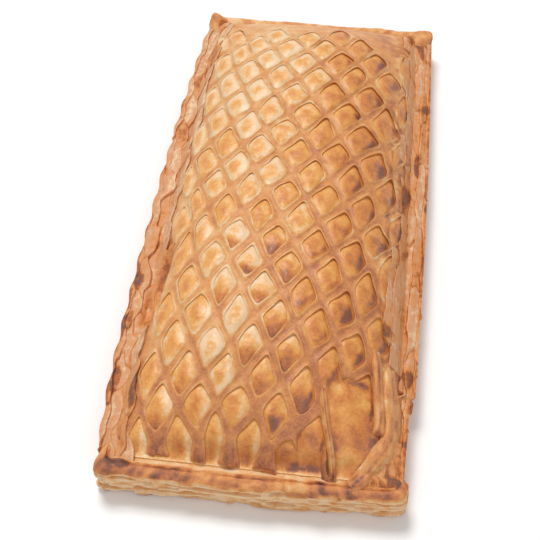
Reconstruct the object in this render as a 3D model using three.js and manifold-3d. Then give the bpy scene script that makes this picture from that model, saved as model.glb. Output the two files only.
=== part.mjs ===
// A baked cheese puff pastry: an oblong base of layered dough with a puffed rim, a domed cheese
// filling, and a lid of dough that is cut as a lattice and drawn open over the filling.
// Millimetres, +Z up. X is the width, Y the length with its front end at -Y, and the origin lies
// under the middle of the flat underside.

import * as THREE from 'three';
import Module from 'manifold-3d';

// Overall size
const LENGTH = 164;
const WIDTH = 74;
const HALF_LENGTH = LENGTH / 2;
const HALF_WIDTH = WIDTH / 2;
const GAP = 0.3;

// Base: a thick bed of dough, and the rim that has puffed up round it
const BED_HEIGHT = 7;
const RIM_HEIGHT = 8.3;
const CORNER_RADIUS = 3;
const SIDE_STEP = 2.8;
const END_STEP = 3;
const CORNER_STEPS = 3;

// Plan of the base: its long sides swell between the corners, and its front end slants at the right
const LEFT_SWELL = 3;
const LEFT_FRONT_POWER = 4;
const LEFT_FAR_POWER = 2;
const RIGHT_SWELL = 2.2;
const RIGHT_PLACE = 35;
const FRONT_SLANT = 1.5;
const SLANT_START = 5;
const SCALLOP_PITCH = 10;
const SCALLOP_DEPTH = 0.6;
const STEP_PLACE = -54;
const STEP_LENGTH = 22;
const STEP_DEPTH = 1.1;

// Layers of the base's side, from the floor up: height, how far the layer draws in, its unevenness
const LAYERS = [
  { height: 0, inset: 1, uneven: 0 },
  { height: 1.1, inset: 0.1, uneven: 0.1 },
  { height: 2.3, inset: 0.7, uneven: 0.2 },
  { height: 3.6, inset: 0.1, uneven: 0.1 },
  { height: 4.9, inset: 0.7, uneven: 0.25 },
  { height: 6.2, inset: 0.1, uneven: 0.1 },
  { height: 7.5, inset: 0.8, uneven: 0.2 },
];
const LAYER_WAVE = 17;
const LAYER_SHIFT = 2.4;
const CREST_SHARE = 0.5;
const CREST_WAVE = 0.4;
const BED_CLEARANCE = 0.4;

// Dome of the lid over the filling
const DOME_AXIS = 0.3;
const DOME_HALF_WIDTH = 32;
const DOME_FRONT = 76;
const DOME_FAR = 79.5;
const DOME_RISE = 15.2;
const FOOT_DROP_SHARE = 0.03;
const ACROSS_POWER = 2.7;
const FRONT_POWER = 4;
const FAR_POWER = 5.5;

// Lid: the lattice sheet, and the strip at the left where it has come away from the rim
const STRAND_THICKNESS = 1.5;
const STRAND_ROUNDING = 0.35;
const LID_LIFT = 0.3;
const LID_EDGE_TOP = BED_HEIGHT + GAP + STRAND_THICKNESS + LID_LIFT;
const LID_INSET = 0.25;
const LID_CORNER_RADIUS = 4;
const POCKET_PLACE = -28;
const POCKET_LENGTH = 34;
const POCKET_DEPTH = 1.6;

// Lattice: half pitches of the slits, and how the sheet leans, fans, tilts and bows as it is drawn out
const COLUMN_PITCH = 4.9;
const ROW_PITCH = 7.5;
const LATTICE_X = -4.1;
const LATTICE_Y = -0.3;
const COLUMN_SPAN = 8;
const ROW_SPAN = 10;
const COLUMN_LEAN = -5.4;
const COLUMN_FAN = -2.8;
const COLUMN_PINCH = -1.4;
const SIDE_DRIFT = 1.9;
const SIDE_SQUEEZE = -3.05;
const ROW_TILT = -4.65;
const ROW_BOW = 15.4;
const ROW_SHEAR = -3.1;
const ROW_SWEEP = -8.8;
const BOW_GAIN = -23;
const TILT_GAIN = 10.7;
const ROW_STRETCH = 3.4;
const END_ROW = 10;
const END_DRAW = 6;
const END_POWER = 1.5;
const LAST_COLUMN = 9;
const LAST_ROW = 13;

// Places where baking has drawn single windows aside: column, row, reach of the pull and the shift
const PULLS = [
  { column: -1.6, row: 10.4, wide: 1.7, long: 0.8, x: 3, y: 0 },
  { column: 2, row: -8.4, wide: 1.2, long: 0.9, x: -3, y: 1 },
  { column: 5.3, row: -7.2, wide: 1.1, long: 1, x: -3.2, y: 0 },
  { column: -5, row: 3, wide: 1.4, long: 1.4, x: 2.3, y: 1.9 },
  { column: 7.2, row: 2.4, wide: 1.2, long: 1.6, x: -0.5, y: 2.6 },
  { column: 5, row: 9, wide: 1, long: 1, x: 0, y: -1.8 },
  { column: -5, row: -7, wide: 1.2, long: 1.2, x: 2.4, y: -0.5 },
  { column: -1, row: 7, wide: 1, long: 1, x: 0.8, y: -1.9 },
  { column: 5.5, row: -2.5, wide: 1.1, long: 1.1, x: 2, y: -0.2 },
];

// Windows: a window's half diagonals as a share of its cell, and how they close towards the sides
const WINDOW_ACROSS = 0.76;
const WINDOW_ALONG = 0.78;
const SIDE_CORNER_CUT = 0.17;
const END_CORNER_CUT = 0.1;
const OPEN_HALF_WIDTH = 22;
const CLOSED_HALF_WIDTH = 36;
const NARROWEST_OPENING = 0.24;
const SIDE_MARGIN = 2.6;
const FAR_MARGIN = 10.5;
const FRONT_MARGIN = 1;

// The long opening at the front right, where windows have torn into one
const TEAR_X = 20.5;
const TEAR_Y = -66;
const TEAR_LENGTH = 18;
const TEAR_WIDTH = 10;
const TEAR_TURN = 0.1;

// Two strands that have come loose beside the tear: middle lines seen from above, and their section
const LONG_STRAND = [[25.4, -46], [26.4, -51.5], [27.4, -58.5], [28, -64], [28.2, -69.5]];
const SLANTING_STRAND = [[30.2, -57.5], [30, -63.2], [28.8, -68.6], [26.2, -73.6], [22, -78.4]];
const LOOSE_HALF_WIDTH = 1.5;
const LOOSE_TOP_HALF_WIDTH = 0.8;
const LOOSE_RISE = 0.5;
const LOOSE_SHOULDER = 0.15;
const LOOSE_FOOT = 0.4;
const LOOSE_LEAST_HEIGHT = 9.2;
const LOOSE_STEPS = 9;

// Filling: how it swells up in the windows
const FILLING_INSET = 1.6;
const FILLING_GAP = 0.5;
const SWELL_FOOT = 0.8;
const SWELL_TOP = 0.5;
const SWELL_SHOULDER_DROP = 1.05;
const SWELL_CROWN_DROP = 0.7;
const SWELL_LEAST_OPENING = 0.8;

// Prisms that trim the sheets to their plan
const TRIM_HEIGHT = 40;
const PLAN_CURVE_STEPS = 3;
const TEAR_CURVE_STEPS = 4;
const POCKET_STEPS = 8;

const wasm = await Module();
wasm.setup();

// Dome and lattice

// Share of the dome's rise at a place: 1 at the crown, 0 at the foot, below 0 outside it
function domeShare(x, y) {
  const reach = y < 0 ? DOME_FRONT : DOME_FAR;
  const power = y < 0 ? FRONT_POWER : FAR_POWER;
  const across = 1 - (Math.abs(x - DOME_AXIS) / DOME_HALF_WIDTH) ** ACROSS_POWER;
  const along = 1 - (Math.abs(y) / reach) ** power;
  const bothOutside = across < 0 && along < 0;
  const share = bothOutside ? -across * along : across * along;
  return Math.max(share, -FOOT_DROP_SHARE);
}

function lidTop(x, y) {
  return LID_EDGE_TOP + DOME_RISE * domeShare(x, y);
}

function latticePoint(column, row) {
  const u = column / COLUMN_SPAN;
  const v = row / ROW_SPAN;
  let x = LATTICE_X + COLUMN_PITCH * column + COLUMN_LEAN * v + COLUMN_FAN * u * v;
  x += COLUMN_PINCH * u * v * v + SIDE_DRIFT * u * u + SIDE_SQUEEZE * u ** 3;
  let y = LATTICE_Y - ROW_PITCH * row + ROW_TILT * u + ROW_SHEAR * u * v + ROW_SWEEP * u ** 3;
  y += (ROW_BOW + BOW_GAIN * v) * u * u + TILT_GAIN * u * v * v + ROW_STRETCH * v ** 3;
  y -= END_DRAW * Math.max(row - END_ROW, 0) ** END_POWER;
  for (const pull of PULLS) {
    const across = (column - pull.column) / pull.wide;
    const along = (row - pull.row) / pull.long;
    const weight = Math.exp(-across * across - along * along);
    x += pull.x * weight;
    y += pull.y * weight;
  }
  return { x, y };
}

// How far a window stands open: fully in the middle of the lid, hardly at its long sides
function windowOpening(x) {
  const offAxis = Math.abs(x - DOME_AXIS);
  const closing = THREE.MathUtils.smoothstep(offAxis, OPEN_HALF_WIDTH, CLOSED_HALF_WIDTH);
  return 1 - closing;
}

function listCells() {
  const cells = new Map();
  for (let row = -LAST_ROW; row <= LAST_ROW; row += 1) {
    for (let column = -LAST_COLUMN; column <= LAST_COLUMN; column += 1) {
      if ((column + row) % 2 !== 0) {
        continue;
      }
      const middle = latticePoint(column, row);
      const opening = windowOpening(middle.x);
      const far = latticePoint(column, row - WINDOW_ALONG);
      const near = latticePoint(column, row + WINDOW_ALONG);
      const inside = Math.abs(middle.x - DOME_AXIS) < DOME_HALF_WIDTH - SIDE_MARGIN
        && far.y < DOME_FAR - FAR_MARGIN
        && near.y < DOME_FAR - FAR_MARGIN
        && middle.y > FRONT_MARGIN - DOME_FRONT;
      const hasWindow = inside && opening > NARROWEST_OPENING;
      cells.set(`${column},${row}`, { column, row, opening, hasWindow });
    }
  }
  return cells;
}

// Corners of a cell and rings of a window, counter-clockwise seen from above

const CORNERS = [[-1, 0], [0, 1], [1, 0], [0, -1]];
const NEIGHBOURS = [[-1, 1], [1, 1], [1, -1], [-1, -1]];

function cellCorners(cell) {
  return CORNERS.map(([across, along]) => [cell.column + across, cell.row + along]);
}

function windowRing(cell, share) {
  const a = WINDOW_ACROSS * cell.opening * share;
  const b = WINDOW_ALONG * share;
  const sideA = a * (1 - SIDE_CORNER_CUT);
  const sideB = b * SIDE_CORNER_CUT;
  const endA = a * END_CORNER_CUT;
  const endB = b * (1 - END_CORNER_CUT);
  const ring = [
    [-sideA, sideB], [-endA, endB], [endA, endB], [sideA, sideB],
    [sideA, -sideB], [endA, -endB], [-endA, -endB], [-sideA, -sideB],
  ];
  return ring.map(([across, along]) => [cell.column + across, cell.row + along]);
}

// Skin: points shared by their place in the lattice and their level, and triangles between them

class Skin {
  constructor() {
    this.positions = [];
    this.indices = [];
    this.known = new Map();
  }

  point(place, level, height) {
    const key = `${place[0].toFixed(4)},${place[1].toFixed(4)},${level}`;
    if (!this.known.has(key)) {
      const { x, y } = latticePoint(place[0], place[1]);
      this.known.set(key, this.positions.length / 3);
      this.positions.push(x, y, height(x, y));
    }
    return this.known.get(key);
  }

  triangle(a, b, c) {
    this.indices.push(a, b, c);
  }

  // Flat band between a cell's four corners and an eight-point ring inside it
  collar(corners, ring, up) {
    for (let k = 0; k < corners.length; k += 1) {
      const next = (k + 1) % corners.length;
      const first = 2 * k;
      const second = first + 1;
      const before = (first + ring.length - 1) % ring.length;
      this.face(corners[k], corners[next], ring[first], up);
      this.face(corners[next], ring[second], ring[first], up);
      this.face(corners[k], ring[first], ring[before], up);
    }
  }

  // Band between two rings of the same length, the outer ring first
  band(outer, inner) {
    for (let k = 0; k < outer.length; k += 1) {
      const next = (k + 1) % outer.length;
      this.triangle(outer[k], outer[next], inner[next]);
      this.triangle(outer[k], inner[next], inner[k]);
    }
  }

  fan(ring, up) {
    for (let k = 1; k < ring.length - 1; k += 1) {
      this.face(ring[0], ring[k], ring[k + 1], up);
    }
  }

  face(a, b, c, up) {
    if (up) {
      this.triangle(a, b, c);
    } else {
      this.triangle(a, c, b);
    }
  }

  // Upright walls along the cell sides that have no neighbour
  edges(cells, cell, top, bottom) {
    NEIGHBOURS.forEach(([across, along], k) => {
      if (cells.has(`${cell.column + across},${cell.row + along}`)) {
        return;
      }
      const next = (k + 1) % top.length;
      this.triangle(bottom[k], bottom[next], top[next]);
      this.triangle(bottom[k], top[next], top[k]);
    });
  }

  solid() {
    return solidOf(new Float32Array(this.positions), new Uint32Array(this.indices));
  }
}

function solidOf(vertProperties, triVerts) {
  return new wasm.Manifold(new wasm.Mesh({ numProp: 3, vertProperties, triVerts }));
}

// Lattice sheet with a hole through each window
function latticeSheet(cells) {
  const skin = new Skin();
  const middle = (x, y) => lidTop(x, y);
  const shoulder = (x, y) => lidTop(x, y) - STRAND_ROUNDING;
  const under = (x, y) => lidTop(x, y) - STRAND_THICKNESS;
  for (const cell of cells.values()) {
    const corners = cellCorners(cell);
    const top = corners.map((place) => skin.point(place, 'top', middle));
    const bottom = corners.map((place) => skin.point(place, 'under', under));
    if (cell.hasWindow) {
      const ring = windowRing(cell, 1);
      const ringTop = ring.map((place) => skin.point(place, 'top', shoulder));
      const ringBottom = ring.map((place) => skin.point(place, 'under', under));
      skin.collar(top, ringTop, true);
      skin.collar(bottom, ringBottom, false);
      skin.band(ringTop, ringBottom);
    } else {
      skin.fan(top, true);
      skin.fan(bottom, false);
    }
    skin.edges(cells, cell, top, bottom);
  }
  return skin.solid();
}

// Filling with a flat underside, swelling up in each window
function fillingMound(cells) {
  const skin = new Skin();
  const floor = () => BED_HEIGHT + GAP;
  const underLid = (x, y) => lidTop(x, y) - STRAND_THICKNESS - FILLING_GAP;
  const shoulder = (x, y) => lidTop(x, y) - SWELL_SHOULDER_DROP;
  const crown = (x, y) => lidTop(x, y) - SWELL_CROWN_DROP;
  for (const cell of cells.values()) {
    const corners = cellCorners(cell);
    const top = corners.map((place) => skin.point(place, 'top', underLid));
    const bottom = corners.map((place) => skin.point(place, 'floor', floor));
    if (cell.hasWindow && cell.opening > SWELL_LEAST_OPENING) {
      const foot = windowRing(cell, SWELL_FOOT).map((place) => skin.point(place, 'top', underLid));
      const swell = windowRing(cell, SWELL_TOP).map((place) => skin.point(place, 'swell', shoulder));
      const peak = skin.point([cell.column, cell.row], 'swell', crown);
      skin.collar(top, foot, true);
      skin.band(foot, swell);
      swell.forEach((point, k) => skin.triangle(point, swell[(k + 1) % swell.length], peak));
    } else {
      skin.fan(top, true);
    }
    skin.fan(bottom, false);
    skin.edges(cells, cell, top, bottom);
  }
  return skin.solid();
}

// Plans that the lid and the filling are trimmed to

function pocket(y) {
  const along = Math.min(Math.abs(y - POCKET_PLACE) / (POCKET_LENGTH / 2), 1);
  return POCKET_DEPTH * Math.cos(along * Math.PI / 2) ** 2;
}

function domePlan(inset) {
  const left = DOME_AXIS - DOME_HALF_WIDTH + inset;
  const right = DOME_AXIS + DOME_HALF_WIDTH - inset;
  const front = inset - DOME_FRONT;
  const far = DOME_FAR - inset;
  const plan = new THREE.Shape();
  plan.moveTo(left + LID_CORNER_RADIUS, front);
  plan.lineTo(right - LID_CORNER_RADIUS, front);
  plan.quadraticCurveTo(right, front, right, front + LID_CORNER_RADIUS);
  plan.lineTo(right, far - LID_CORNER_RADIUS);
  plan.quadraticCurveTo(right, far, right - LID_CORNER_RADIUS, far);
  plan.lineTo(left + LID_CORNER_RADIUS, far);
  plan.quadraticCurveTo(left, far, left, far - LID_CORNER_RADIUS);
  for (let k = 0; k <= POCKET_STEPS; k += 1) {
    const y = POCKET_PLACE + POCKET_LENGTH * (0.5 - k / POCKET_STEPS);
    plan.lineTo(left + pocket(y), y);
  }
  plan.lineTo(left, front + LID_CORNER_RADIUS);
  plan.quadraticCurveTo(left, front, left + LID_CORNER_RADIUS, front);
  return plan;
}

function tearPlan() {
  const plan = new THREE.Shape();
  plan.absellipse(TEAR_X, TEAR_Y, TEAR_WIDTH / 2, TEAR_LENGTH / 2, 0, 2 * Math.PI, false, TEAR_TURN);
  return plan;
}

function prism(plan, curveSegments) {
  const options = { depth: TRIM_HEIGHT, bevelEnabled: false, curveSegments };
  const geometry = new THREE.ExtrudeGeometry(plan, options);
  return solidOf(...weld(geometry.getAttribute('position').array));
}

// Merges the corners that loose triangles share
function weld(positions) {
  const known = new Map();
  const points = [];
  const triangles = [];
  for (let k = 0; k < positions.length; k += 3) {
    const key = [0, 1, 2].map((axis) => positions[k + axis].toFixed(4)).join();
    if (!known.has(key)) {
      known.set(key, points.length / 3);
      points.push(positions[k], positions[k + 1], positions[k + 2]);
    }
    triangles.push(known.get(key));
  }
  return [new Float32Array(points), new Uint32Array(triangles)];
}

// A loose strand lying on the lid and, past the lid's front edge, on the rim
function looseStrand(line) {
  const curve = new THREE.CatmullRomCurve3(line.map(([x, y]) => new THREE.Vector3(x, y, 0)));
  const section = [
    [-LOOSE_HALF_WIDTH, -LOOSE_FOOT],
    [LOOSE_HALF_WIDTH, -LOOSE_FOOT],
    [LOOSE_HALF_WIDTH, LOOSE_SHOULDER],
    [LOOSE_TOP_HALF_WIDTH, LOOSE_RISE],
    [-LOOSE_TOP_HALF_WIDTH, LOOSE_RISE],
    [-LOOSE_HALF_WIDTH, LOOSE_SHOULDER],
  ];
  const positions = [];
  const indices = [];
  for (let step = 0; step <= LOOSE_STEPS; step += 1) {
    const middle = curve.getPoint(step / LOOSE_STEPS);
    const run = curve.getTangent(step / LOOSE_STEPS);
    const bed = Math.max(lidTop(middle.x, middle.y), LOOSE_LEAST_HEIGHT);
    for (const [across, up] of section) {
      positions.push(middle.x - run.y * across, middle.y + run.x * across, bed + up);
    }
  }
  const count = section.length;
  for (let step = 0; step < LOOSE_STEPS; step += 1) {
    for (let k = 0; k < count; k += 1) {
      const here = step * count + k;
      const beside = step * count + (k + 1) % count;
      indices.push(here, beside, beside + count, here, beside + count, here + count);
    }
  }
  const last = LOOSE_STEPS * count;
  for (let k = 1; k < count - 1; k += 1) {
    indices.push(0, k + 1, k, last, last + k, last + k + 1);
  }
  return solidOf(new Float32Array(positions), new Uint32Array(indices));
}

// Base: rings of the same plan from the floor up over the rim to the bed

function leftSide(y) {
  const power = y < 0 ? LEFT_FRONT_POWER : LEFT_FAR_POWER;
  const narrowing = LEFT_SWELL * Math.abs(y / HALF_LENGTH) ** power;
  const scallop = SCALLOP_DEPTH * (1 - Math.cos(2 * Math.PI * y / SCALLOP_PITCH)) / 2;
  return -HALF_WIDTH + narrowing + scallop;
}

function rightSide(y) {
  const narrowing = RIGHT_SWELL * ((y - RIGHT_PLACE) / (HALF_LENGTH + RIGHT_PLACE)) ** 2;
  const inStep = y < STEP_PLACE && y > STEP_PLACE - STEP_LENGTH;
  return HALF_WIDTH - narrowing - (inStep ? STEP_DEPTH : 0);
}

function frontEnd(x) {
  return -HALF_LENGTH + FRONT_SLANT * Math.max(0, x - SLANT_START) / (HALF_WIDTH - SLANT_START);
}

function basePlan() {
  const points = [];
  const straightX = HALF_WIDTH - LEFT_SWELL - CORNER_RADIUS;
  const straightY = HALF_LENGTH - CORNER_RADIUS;
  const endSteps = Math.round(2 * straightX / END_STEP);
  const sideSteps = Math.round(2 * straightY / SIDE_STEP);
  const corner = (x, y, start) => {
    for (let k = 1; k < CORNER_STEPS; k += 1) {
      const turn = start + (k / CORNER_STEPS) * Math.PI / 2;
      points.push([x + CORNER_RADIUS * Math.cos(turn), y + CORNER_RADIUS * Math.sin(turn)]);
    }
  };
  for (let k = 0; k <= endSteps; k += 1) {
    const x = straightX * (2 * k / endSteps - 1);
    points.push([x, frontEnd(x)]);
  }
  const rightStart = FRONT_SLANT - straightY;
  corner(rightSide(rightStart) - CORNER_RADIUS, rightStart, -Math.PI / 2);
  for (let k = 0; k <= sideSteps; k += 1) {
    const y = rightStart + (straightY - rightStart) * k / sideSteps;
    points.push([rightSide(y), y]);
  }
  corner(rightSide(straightY) - CORNER_RADIUS, straightY, 0);
  for (let k = 0; k <= endSteps; k += 1) {
    points.push([straightX * (1 - 2 * k / endSteps), HALF_LENGTH]);
  }
  corner(leftSide(straightY) + CORNER_RADIUS, straightY, Math.PI / 2);
  for (let k = 0; k <= sideSteps; k += 1) {
    const y = straightY * (1 - 2 * k / sideSteps);
    points.push([leftSide(y), y]);
  }
  corner(leftSide(-straightY) + CORNER_RADIUS, -straightY, Math.PI);
  return points;
}

function drawnIn([x, y], inset) {
  return [x * (1 - inset / HALF_WIDTH), y * (1 - inset / HALF_LENGTH)];
}

// The place on the edge of the bed, just outside the lid, that faces a place on the plan
function bedEdge([x, y]) {
  const side = x < 0 ? leftSide(y) : rightSide(y);
  const bedSide = DOME_AXIS + Math.sign(x) * (DOME_HALF_WIDTH + BED_CLEARANCE);
  const bedEnd = (y < 0 ? DOME_FRONT : DOME_FAR) + BED_CLEARANCE;
  const end = y < 0 ? -frontEnd(x) : HALF_LENGTH;
  return [x / side * bedSide, y / end * bedEnd];
}

function baseSheet() {
  const plan = basePlan();
  const wave = ([x, y], level) => Math.sin(2 * Math.PI * (x + y) / LAYER_WAVE + LAYER_SHIFT * level);
  const rings = LAYERS.map(({ height, inset, uneven }, level) => plan.map((place) => {
    const [x, y] = drawnIn(place, inset + uneven * (1 + wave(place, level)));
    return [x, y, height];
  }));
  rings.push(plan.map((place) => {
    const outer = new THREE.Vector2(...drawnIn(place, LAYERS.at(-1).inset));
    const crest = outer.lerp(new THREE.Vector2(...bedEdge(place)), CREST_SHARE);
    return [crest.x, crest.y, RIM_HEIGHT + CREST_WAVE * wave(place, 0)];
  }));
  rings.push(plan.map((place) => [...bedEdge(place), BED_HEIGHT]));

  const positions = rings.flat(2);
  const indices = [];
  const count = plan.length;
  for (let level = 0; level < rings.length - 1; level += 1) {
    for (let k = 0; k < count; k += 1) {
      const next = (k + 1) % count;
      const low = level * count;
      const high = low + count;
      indices.push(low + k, low + next, high + next);
      indices.push(low + k, high + next, high + k);
    }
  }
  const cap = (level, up) => {
    const outline = rings[level].map(([x, y]) => new THREE.Vector2(x, y));
    for (const [a, b, c] of THREE.ShapeUtils.triangulateShape(outline, [])) {
      const first = level * count;
      indices.push(first + a, first + (up ? b : c), first + (up ? c : b));
    }
  };
  cap(0, false);
  cap(rings.length - 1, true);
  return solidOf(new Float32Array(positions), new Uint32Array(indices));
}

// Pieces

function piece(name, solid, material) {
  const { vertProperties, triVerts } = solid.getMesh();
  const geometry = new THREE.BufferGeometry();
  geometry.setAttribute('position', new THREE.BufferAttribute(vertProperties, 3));
  geometry.setIndex(new THREE.BufferAttribute(triVerts, 1));
  geometry.computeVertexNormals();
  const mesh = new THREE.Mesh(geometry, material);
  mesh.name = name;
  return mesh;
}

const layeredDough = new THREE.MeshStandardMaterial({ color: 0xd9a76a, roughness: 0.7, metalness: 0 });
const brownedCheese = new THREE.MeshStandardMaterial({ color: 0xe0a45a, roughness: 0.5, metalness: 0 });
const bakedLattice = new THREE.MeshStandardMaterial({ color: 0xd08a4e, roughness: 0.55, metalness: 0 });

const cells = listCells();
const lid = latticeSheet(cells)
  .intersect(prism(domePlan(LID_INSET), PLAN_CURVE_STEPS))
  .subtract(prism(tearPlan(), TEAR_CURVE_STEPS))
  .add(looseStrand(LONG_STRAND))
  .add(looseStrand(SLANTING_STRAND));
const filling = fillingMound(cells)
  .intersect(prism(domePlan(LID_INSET + FILLING_INSET), PLAN_CURVE_STEPS));

const pastry = new THREE.Group();
pastry.add(piece('base_sheet', baseSheet(), layeredDough));
pastry.add(piece('cheese_filling', filling, brownedCheese));
pastry.add(piece('lattice_lid', lid, bakedLattice));

export default pastry;
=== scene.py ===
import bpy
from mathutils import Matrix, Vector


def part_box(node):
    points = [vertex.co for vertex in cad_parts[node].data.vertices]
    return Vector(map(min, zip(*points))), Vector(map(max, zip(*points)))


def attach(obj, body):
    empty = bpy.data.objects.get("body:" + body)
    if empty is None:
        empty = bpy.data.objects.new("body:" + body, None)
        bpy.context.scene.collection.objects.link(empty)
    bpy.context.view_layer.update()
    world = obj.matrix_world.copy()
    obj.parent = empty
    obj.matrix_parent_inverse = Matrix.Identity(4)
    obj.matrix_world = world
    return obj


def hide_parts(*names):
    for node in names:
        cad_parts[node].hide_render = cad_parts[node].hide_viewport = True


bl_info = {
    "name": "Cheese puff pastry",
    "version": (1, 0, 0),
    "blender": (4, 5, 0),
    "location": "3D View > Sidebar > Pastry",
    "description": "Models a baked cheese slice: layered base, risen filling and cut lattice lid",
    "category": "Mesh",
}

import math

import bmesh
import bpy
import numpy as np
from bpy.props import FloatProperty, FloatVectorProperty, IntProperty, PointerProperty
from mathutils import Vector, noise

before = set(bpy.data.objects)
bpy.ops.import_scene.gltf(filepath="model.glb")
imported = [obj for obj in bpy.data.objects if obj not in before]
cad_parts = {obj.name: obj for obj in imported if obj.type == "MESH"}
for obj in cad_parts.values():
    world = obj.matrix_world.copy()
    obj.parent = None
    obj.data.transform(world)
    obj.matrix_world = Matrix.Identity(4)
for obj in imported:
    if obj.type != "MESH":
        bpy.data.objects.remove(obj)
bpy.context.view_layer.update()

# Lengths below are in millimetres; meshes are written in metres
MM = 0.001
BASE_LOW, BASE_HIGH = (np.array(corner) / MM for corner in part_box("base_sheet"))
LID_LOW, LID_HIGH = (np.array(corner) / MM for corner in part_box("lattice_lid"))

# Dome of the lid
BED_HEIGHT = 7.0
STRIP_HEIGHT = 7.25
LID_EDGE_TOP = 9.1
DOME_AXIS = (LID_LOW[0] + LID_HIGH[0]) / 2
DOME_HALF_WIDTH = (LID_HIGH[0] - LID_LOW[0]) / 2 + 0.25
DOME_FRONT = 76.0
LID_FRONT = 0.25 - DOME_FRONT
DOME_FAR = LID_HIGH[1] + 0.25
DOME_RISE = LID_HIGH[2] - LID_EDGE_TOP
FOOT_DROP_SHARE = 0.03
FOOT_SINK = 1.5
FAR_SINK = 0.2
FOOT_REACH = 3.5
FRONT_TUCK = 1.8
TUCK_REACH = 5.0
ACROSS_POWER = 2.7
FRONT_POWER = 4.0
FAR_POWER = 5.5

# Lattice: staggered columns and rows of diamond cells, and how the sheet was drawn out
COLUMN_PITCH = 4.9
ROW_PITCH = 7.5
LATTICE_X = -4.1
LATTICE_Y = -0.3
COLUMN_SPAN = 8
ROW_SPAN = 10
COLUMN_LEAN = -5.4
COLUMN_FAN = -2.8
COLUMN_PINCH = -1.4
SIDE_DRIFT = 1.9
SIDE_SQUEEZE = -3.05
ROW_TILT = -4.65
ROW_BOW = 15.4
ROW_SHEAR = -3.1
ROW_SWEEP = -8.8
BOW_GAIN = -23.0
TILT_GAIN = 10.7
ROW_STRETCH = 3.4
END_ROW = 10
END_DRAW = 6.0
END_POWER = 1.5
SPARE_COLUMNS = 1.3
SPARE_ROWS = 1.6
OPEN_HALF_WIDTH = 22.0
CLOSED_HALF_WIDTH = 36.0
NARROWEST_OPENING = 0.24
NEAR_NARROWING = 0.05
MIDDLE_SHRINK = 0.07
MIDDLE_NARROWING = 0.13
MIDDLE_WINDOWS = ((-4.0, -27.0), (15.0, 32.0))
SIDE_MARGIN = 2.6
FAR_MARGIN = 9.0
FRONT_MARGIN = 1.0

# Places where baking drew single windows aside: column, row, reach of the pull and its shift
PULLS = (
    (-1.6, 10.4, 1.7, 0.8, 3.0, 0.0),
    (2.0, -8.4, 1.2, 0.9, -3.0, 1.0),
    (5.3, -7.2, 1.1, 1.0, -3.2, 0.0),
    (-5.0, 3.0, 1.4, 1.4, 2.3, 1.9),
    (7.2, 2.4, 1.2, 1.6, -0.5, 2.6),
    (5.0, 9.0, 1.0, 1.0, 0.0, -1.8),
    (-5.0, -7.0, 1.2, 1.2, 2.4, -0.5),
    (-1.0, 7.0, 1.0, 1.0, 0.8, -1.9),
    (5.5, -2.5, 1.1, 1.1, 2.0, -0.2),
)

# Openings at the front right, where windows tore: place, half width, half length, slant and lean
TEARS = (
    ((20.8, -65.4), 5.2, 9.4, 0.25, 0.13),
    ((12.6, -72.4), 2.3, 3.2, 0.0, 0.25),
)
TEAR_ROUNDING = 4.5

# Gap at the left
POCKET_X = -28.4
POCKET_Y = -30.0
POCKET_LEAN = 0.09
POCKET_BRINK = 2.2
POCKET_HALF_LENGTH = 11.0
POCKET_SINK = 6.2
POCKET_DEPTH = 5.2
POCKET_LAP = 2.0
BED_CLEARANCE_IN_POCKET = 0.6

# Patches of the filling in the long opening, one of them a painted shadow: place, reach and gain
TORN_PATCHES_AND_SHADOW = (
    ((25.0, -66.0), (1.6, 2.4), 0.25),
    ((20.0, -73.5), (5.0, 1.6), -0.1),
    ((17.4, -70.0), (1.6, 3.0), 0.3),
    ((19.0, -60.5), (4.0, 4.0), -0.12),
    # Painted shadow of the strand above the opening's far edge
    ((22.5, -56.5), (3.2, 0.5), 0.4),
    ((12.5, -74.6), (2.6, 0.8), 0.4),
)

# Windows whose near tip sank and is painted dark as the shade of the sunk tip: column, row and strength
SHADED_TIP_WINDOWS = (
    (-1, 3, 0.8), (1, 3, 1.0), (0, 4, 1.0), (2, 4, 0.7), (-1, 5, 0.8), (1, 5, 1.0), (2, 6, 0.9),
    (1, 7, 0.8), (3, 7, 1.0), (-2, 8, 0.7), (2, 8, 1.0), (4, 8, 1.0), (-3, 9, 0.8),
)
TIP_SINK = 0.45
TIP_SHADE_TONE = 0.76

# Painted shade of a small hole beside the loose strands: a dark spot, with no hole cut
HOLE_SHADE_PLACE = (26.5, -68.8)
HOLE_SHADE_REACH = (0.9, 1.2)

# Small hole where one window burst: sunk a little, and painted dark as its shade
BURST_PLACE = (16.4, 25.4)
BURST_REACH = (1.0, 0.9)

# Grid that the lattice is modelled on: whole cells each way, and parts of a cell side
GRID_CELLS = 25
SIDE_CUTS = 4
CELL_INSET = 0.05

# Rings of points in a cell of the lid, from the strand's middle line to the window's edge: place on
# that way, and height of the lip there, on most of the lid and on the rounder strands at the front
LID_RINGS = (0.0, 0.42, 0.8, 1.0)
LIP_HEIGHTS = (-0.22, -0.05, 0.36, 0.1)
FRONT_LIP_HEIGHTS = (0.3, 0.25, 0.12, -0.1)
LIP_ROOM = 0.45
KNOT_SHARPNESS = 2.2

# Rings of points in a cell of the filling, from under the strand to the middle of the window: place on
# the way from its middle to its edge
FILLING_RINGS = (0.0, 1.0, 0.84, 0.62, 0.42, 0.22, 0.0)
UNDER_STRAND = 1.25
FILLING_ROOM = 0.25
FILLING_SIDE_GAP = 1.0
FILLING_FRONT_LAP = 0.4
TONE_DRAW = 0.15
TORN_TONE = 0.46
STRIP_TONE = 0.15

# How far single windows differ in size, oval, egg shape, turn and place
SIZE_DRAW = 0.05
OVAL_DRAW = 0.08
EGG_DRAW = 0.08
TURN_DRAW = 0.11
SHIFT_DRAW = 0.03
RIGHT_SHIFT = 0.06
WIDEST_WINDOW = 0.95

# Angles in degrees up to which faces are shaded as one surface
SMOOTH_ANGLE = 60
LAYER_ANGLE = 50
PLATE_ANGLE = 40

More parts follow.
